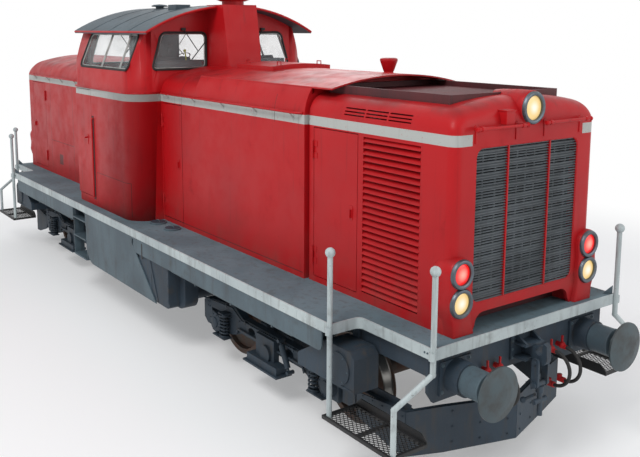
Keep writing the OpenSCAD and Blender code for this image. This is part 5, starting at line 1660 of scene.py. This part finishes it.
stageLook = {
    "floorTone": (0.94, 0.94, 0.94),
    "backgroundTone": (1.0, 1.0, 1.0),
    "nearFloor": 6.8,
    "lift": 0.3,
    "farFloor": 11.0,
    "keyPower": 1800.0,
    "fillPower": 420.0,
    "backPower": 480.0,
    "worldStrength": 0.5,
}


def makeStage():
    net = Net("floor")
    net.position()
    patch = net.noise(0.4, 3.0)
    net.set(Base_Color=net.mix(patch * 0.1, stageLook["floorTone"], (0.82, 0.82, 0.83)), Roughness=0.9)
    # Far from the object the floor is plain white, so no horizon shows
    away = net.math("SQRT", net.x * net.x + net.y * net.y)
    glow = net.tree.nodes.new("ShaderNodeEmission")
    glow.inputs["Color"].default_value = (*stageLook["backgroundTone"], 1.0)
    blend = net.tree.nodes.new("ShaderNodeMixShader")
    fade = net.ramp(away, stageLook["nearFloor"], stageLook["farFloor"])
    net.feed(blend.inputs[0], stageLook["lift"] + (1.0 - stageLook["lift"]) * fade)
    net.tree.links.new(net.shader.outputs[0], blend.inputs[1])
    net.tree.links.new(glow.outputs[0], blend.inputs[2])
    net.tree.links.new(blend.outputs[0], net.output.inputs[0])
    mesh = bpy.data.meshes.new("floor")
    size = 90.0
    mesh.from_pydata([(-size, -size, 0), (size, -size, 0), (size, size, 0), (-size, size, 0)], [], [(0, 1, 2, 3)])
    floor = bpy.data.objects.new("floor", mesh)
    floor.data.materials.append(net.material)
    scene.collection.objects.link(floor)

    world = bpy.data.worlds.new("studio")
    world.use_nodes = True
    tree = world.node_tree
    tree.nodes.clear()
    output = tree.nodes.new("ShaderNodeOutputWorld")
    light = tree.nodes.new("ShaderNodeBackground")
    light.inputs["Color"].default_value = (0.92, 0.95, 1.0, 1.0)
    light.inputs["Strength"].default_value = stageLook["worldStrength"]
    white = tree.nodes.new("ShaderNodeBackground")
    white.inputs["Color"].default_value = (*stageLook["backgroundTone"], 1.0)
    white.inputs["Strength"].default_value = 1.0
    path = tree.nodes.new("ShaderNodeLightPath")
    mixer = tree.nodes.new("ShaderNodeMixShader")
    seen = path.outputs["Is Camera Ray"]
    for ray in ("Is Glossy Ray", "Is Transmission Ray"):
        either = tree.nodes.new("ShaderNodeMath")
        either.operation = "MAXIMUM"
        tree.links.new(seen, either.inputs[0])
        tree.links.new(path.outputs[ray], either.inputs[1])
        seen = either.outputs[0]
    tree.links.new(seen, mixer.inputs[0])
    tree.links.new(light.outputs[0], mixer.inputs[1])
    tree.links.new(white.outputs[0], mixer.inputs[2])
    tree.links.new(mixer.outputs[0], output.inputs[0])
    scene.world = world

    def area(name, power, size, place, target):
        data = bpy.data.lights.new(name, "AREA")
        data.energy = power
        data.size = size
        lamp = bpy.data.objects.new(name, data)
        lamp.location = place
        lamp.rotation_mode = "QUATERNION"
        lamp.rotation_quaternion = (Vector(place) - Vector(target)).to_track_quat("Z", "Y")
        scene.collection.objects.link(lamp)

    area("key", stageLook["keyPower"], 7.0, (6.5, -11.0, 15.5), (0, 0, 1.5))
    area("fill", stageLook["fillPower"], 10.0, (15.0, 6.0, 7.0), (2, 0, 1.5))
    area("back", stageLook["backPower"], 9.0, (-12.0, 9.0, 10.0), (0, 0, 2.0))
    scene.view_settings.view_transform = "Standard"


makeStage()
print("stage set")
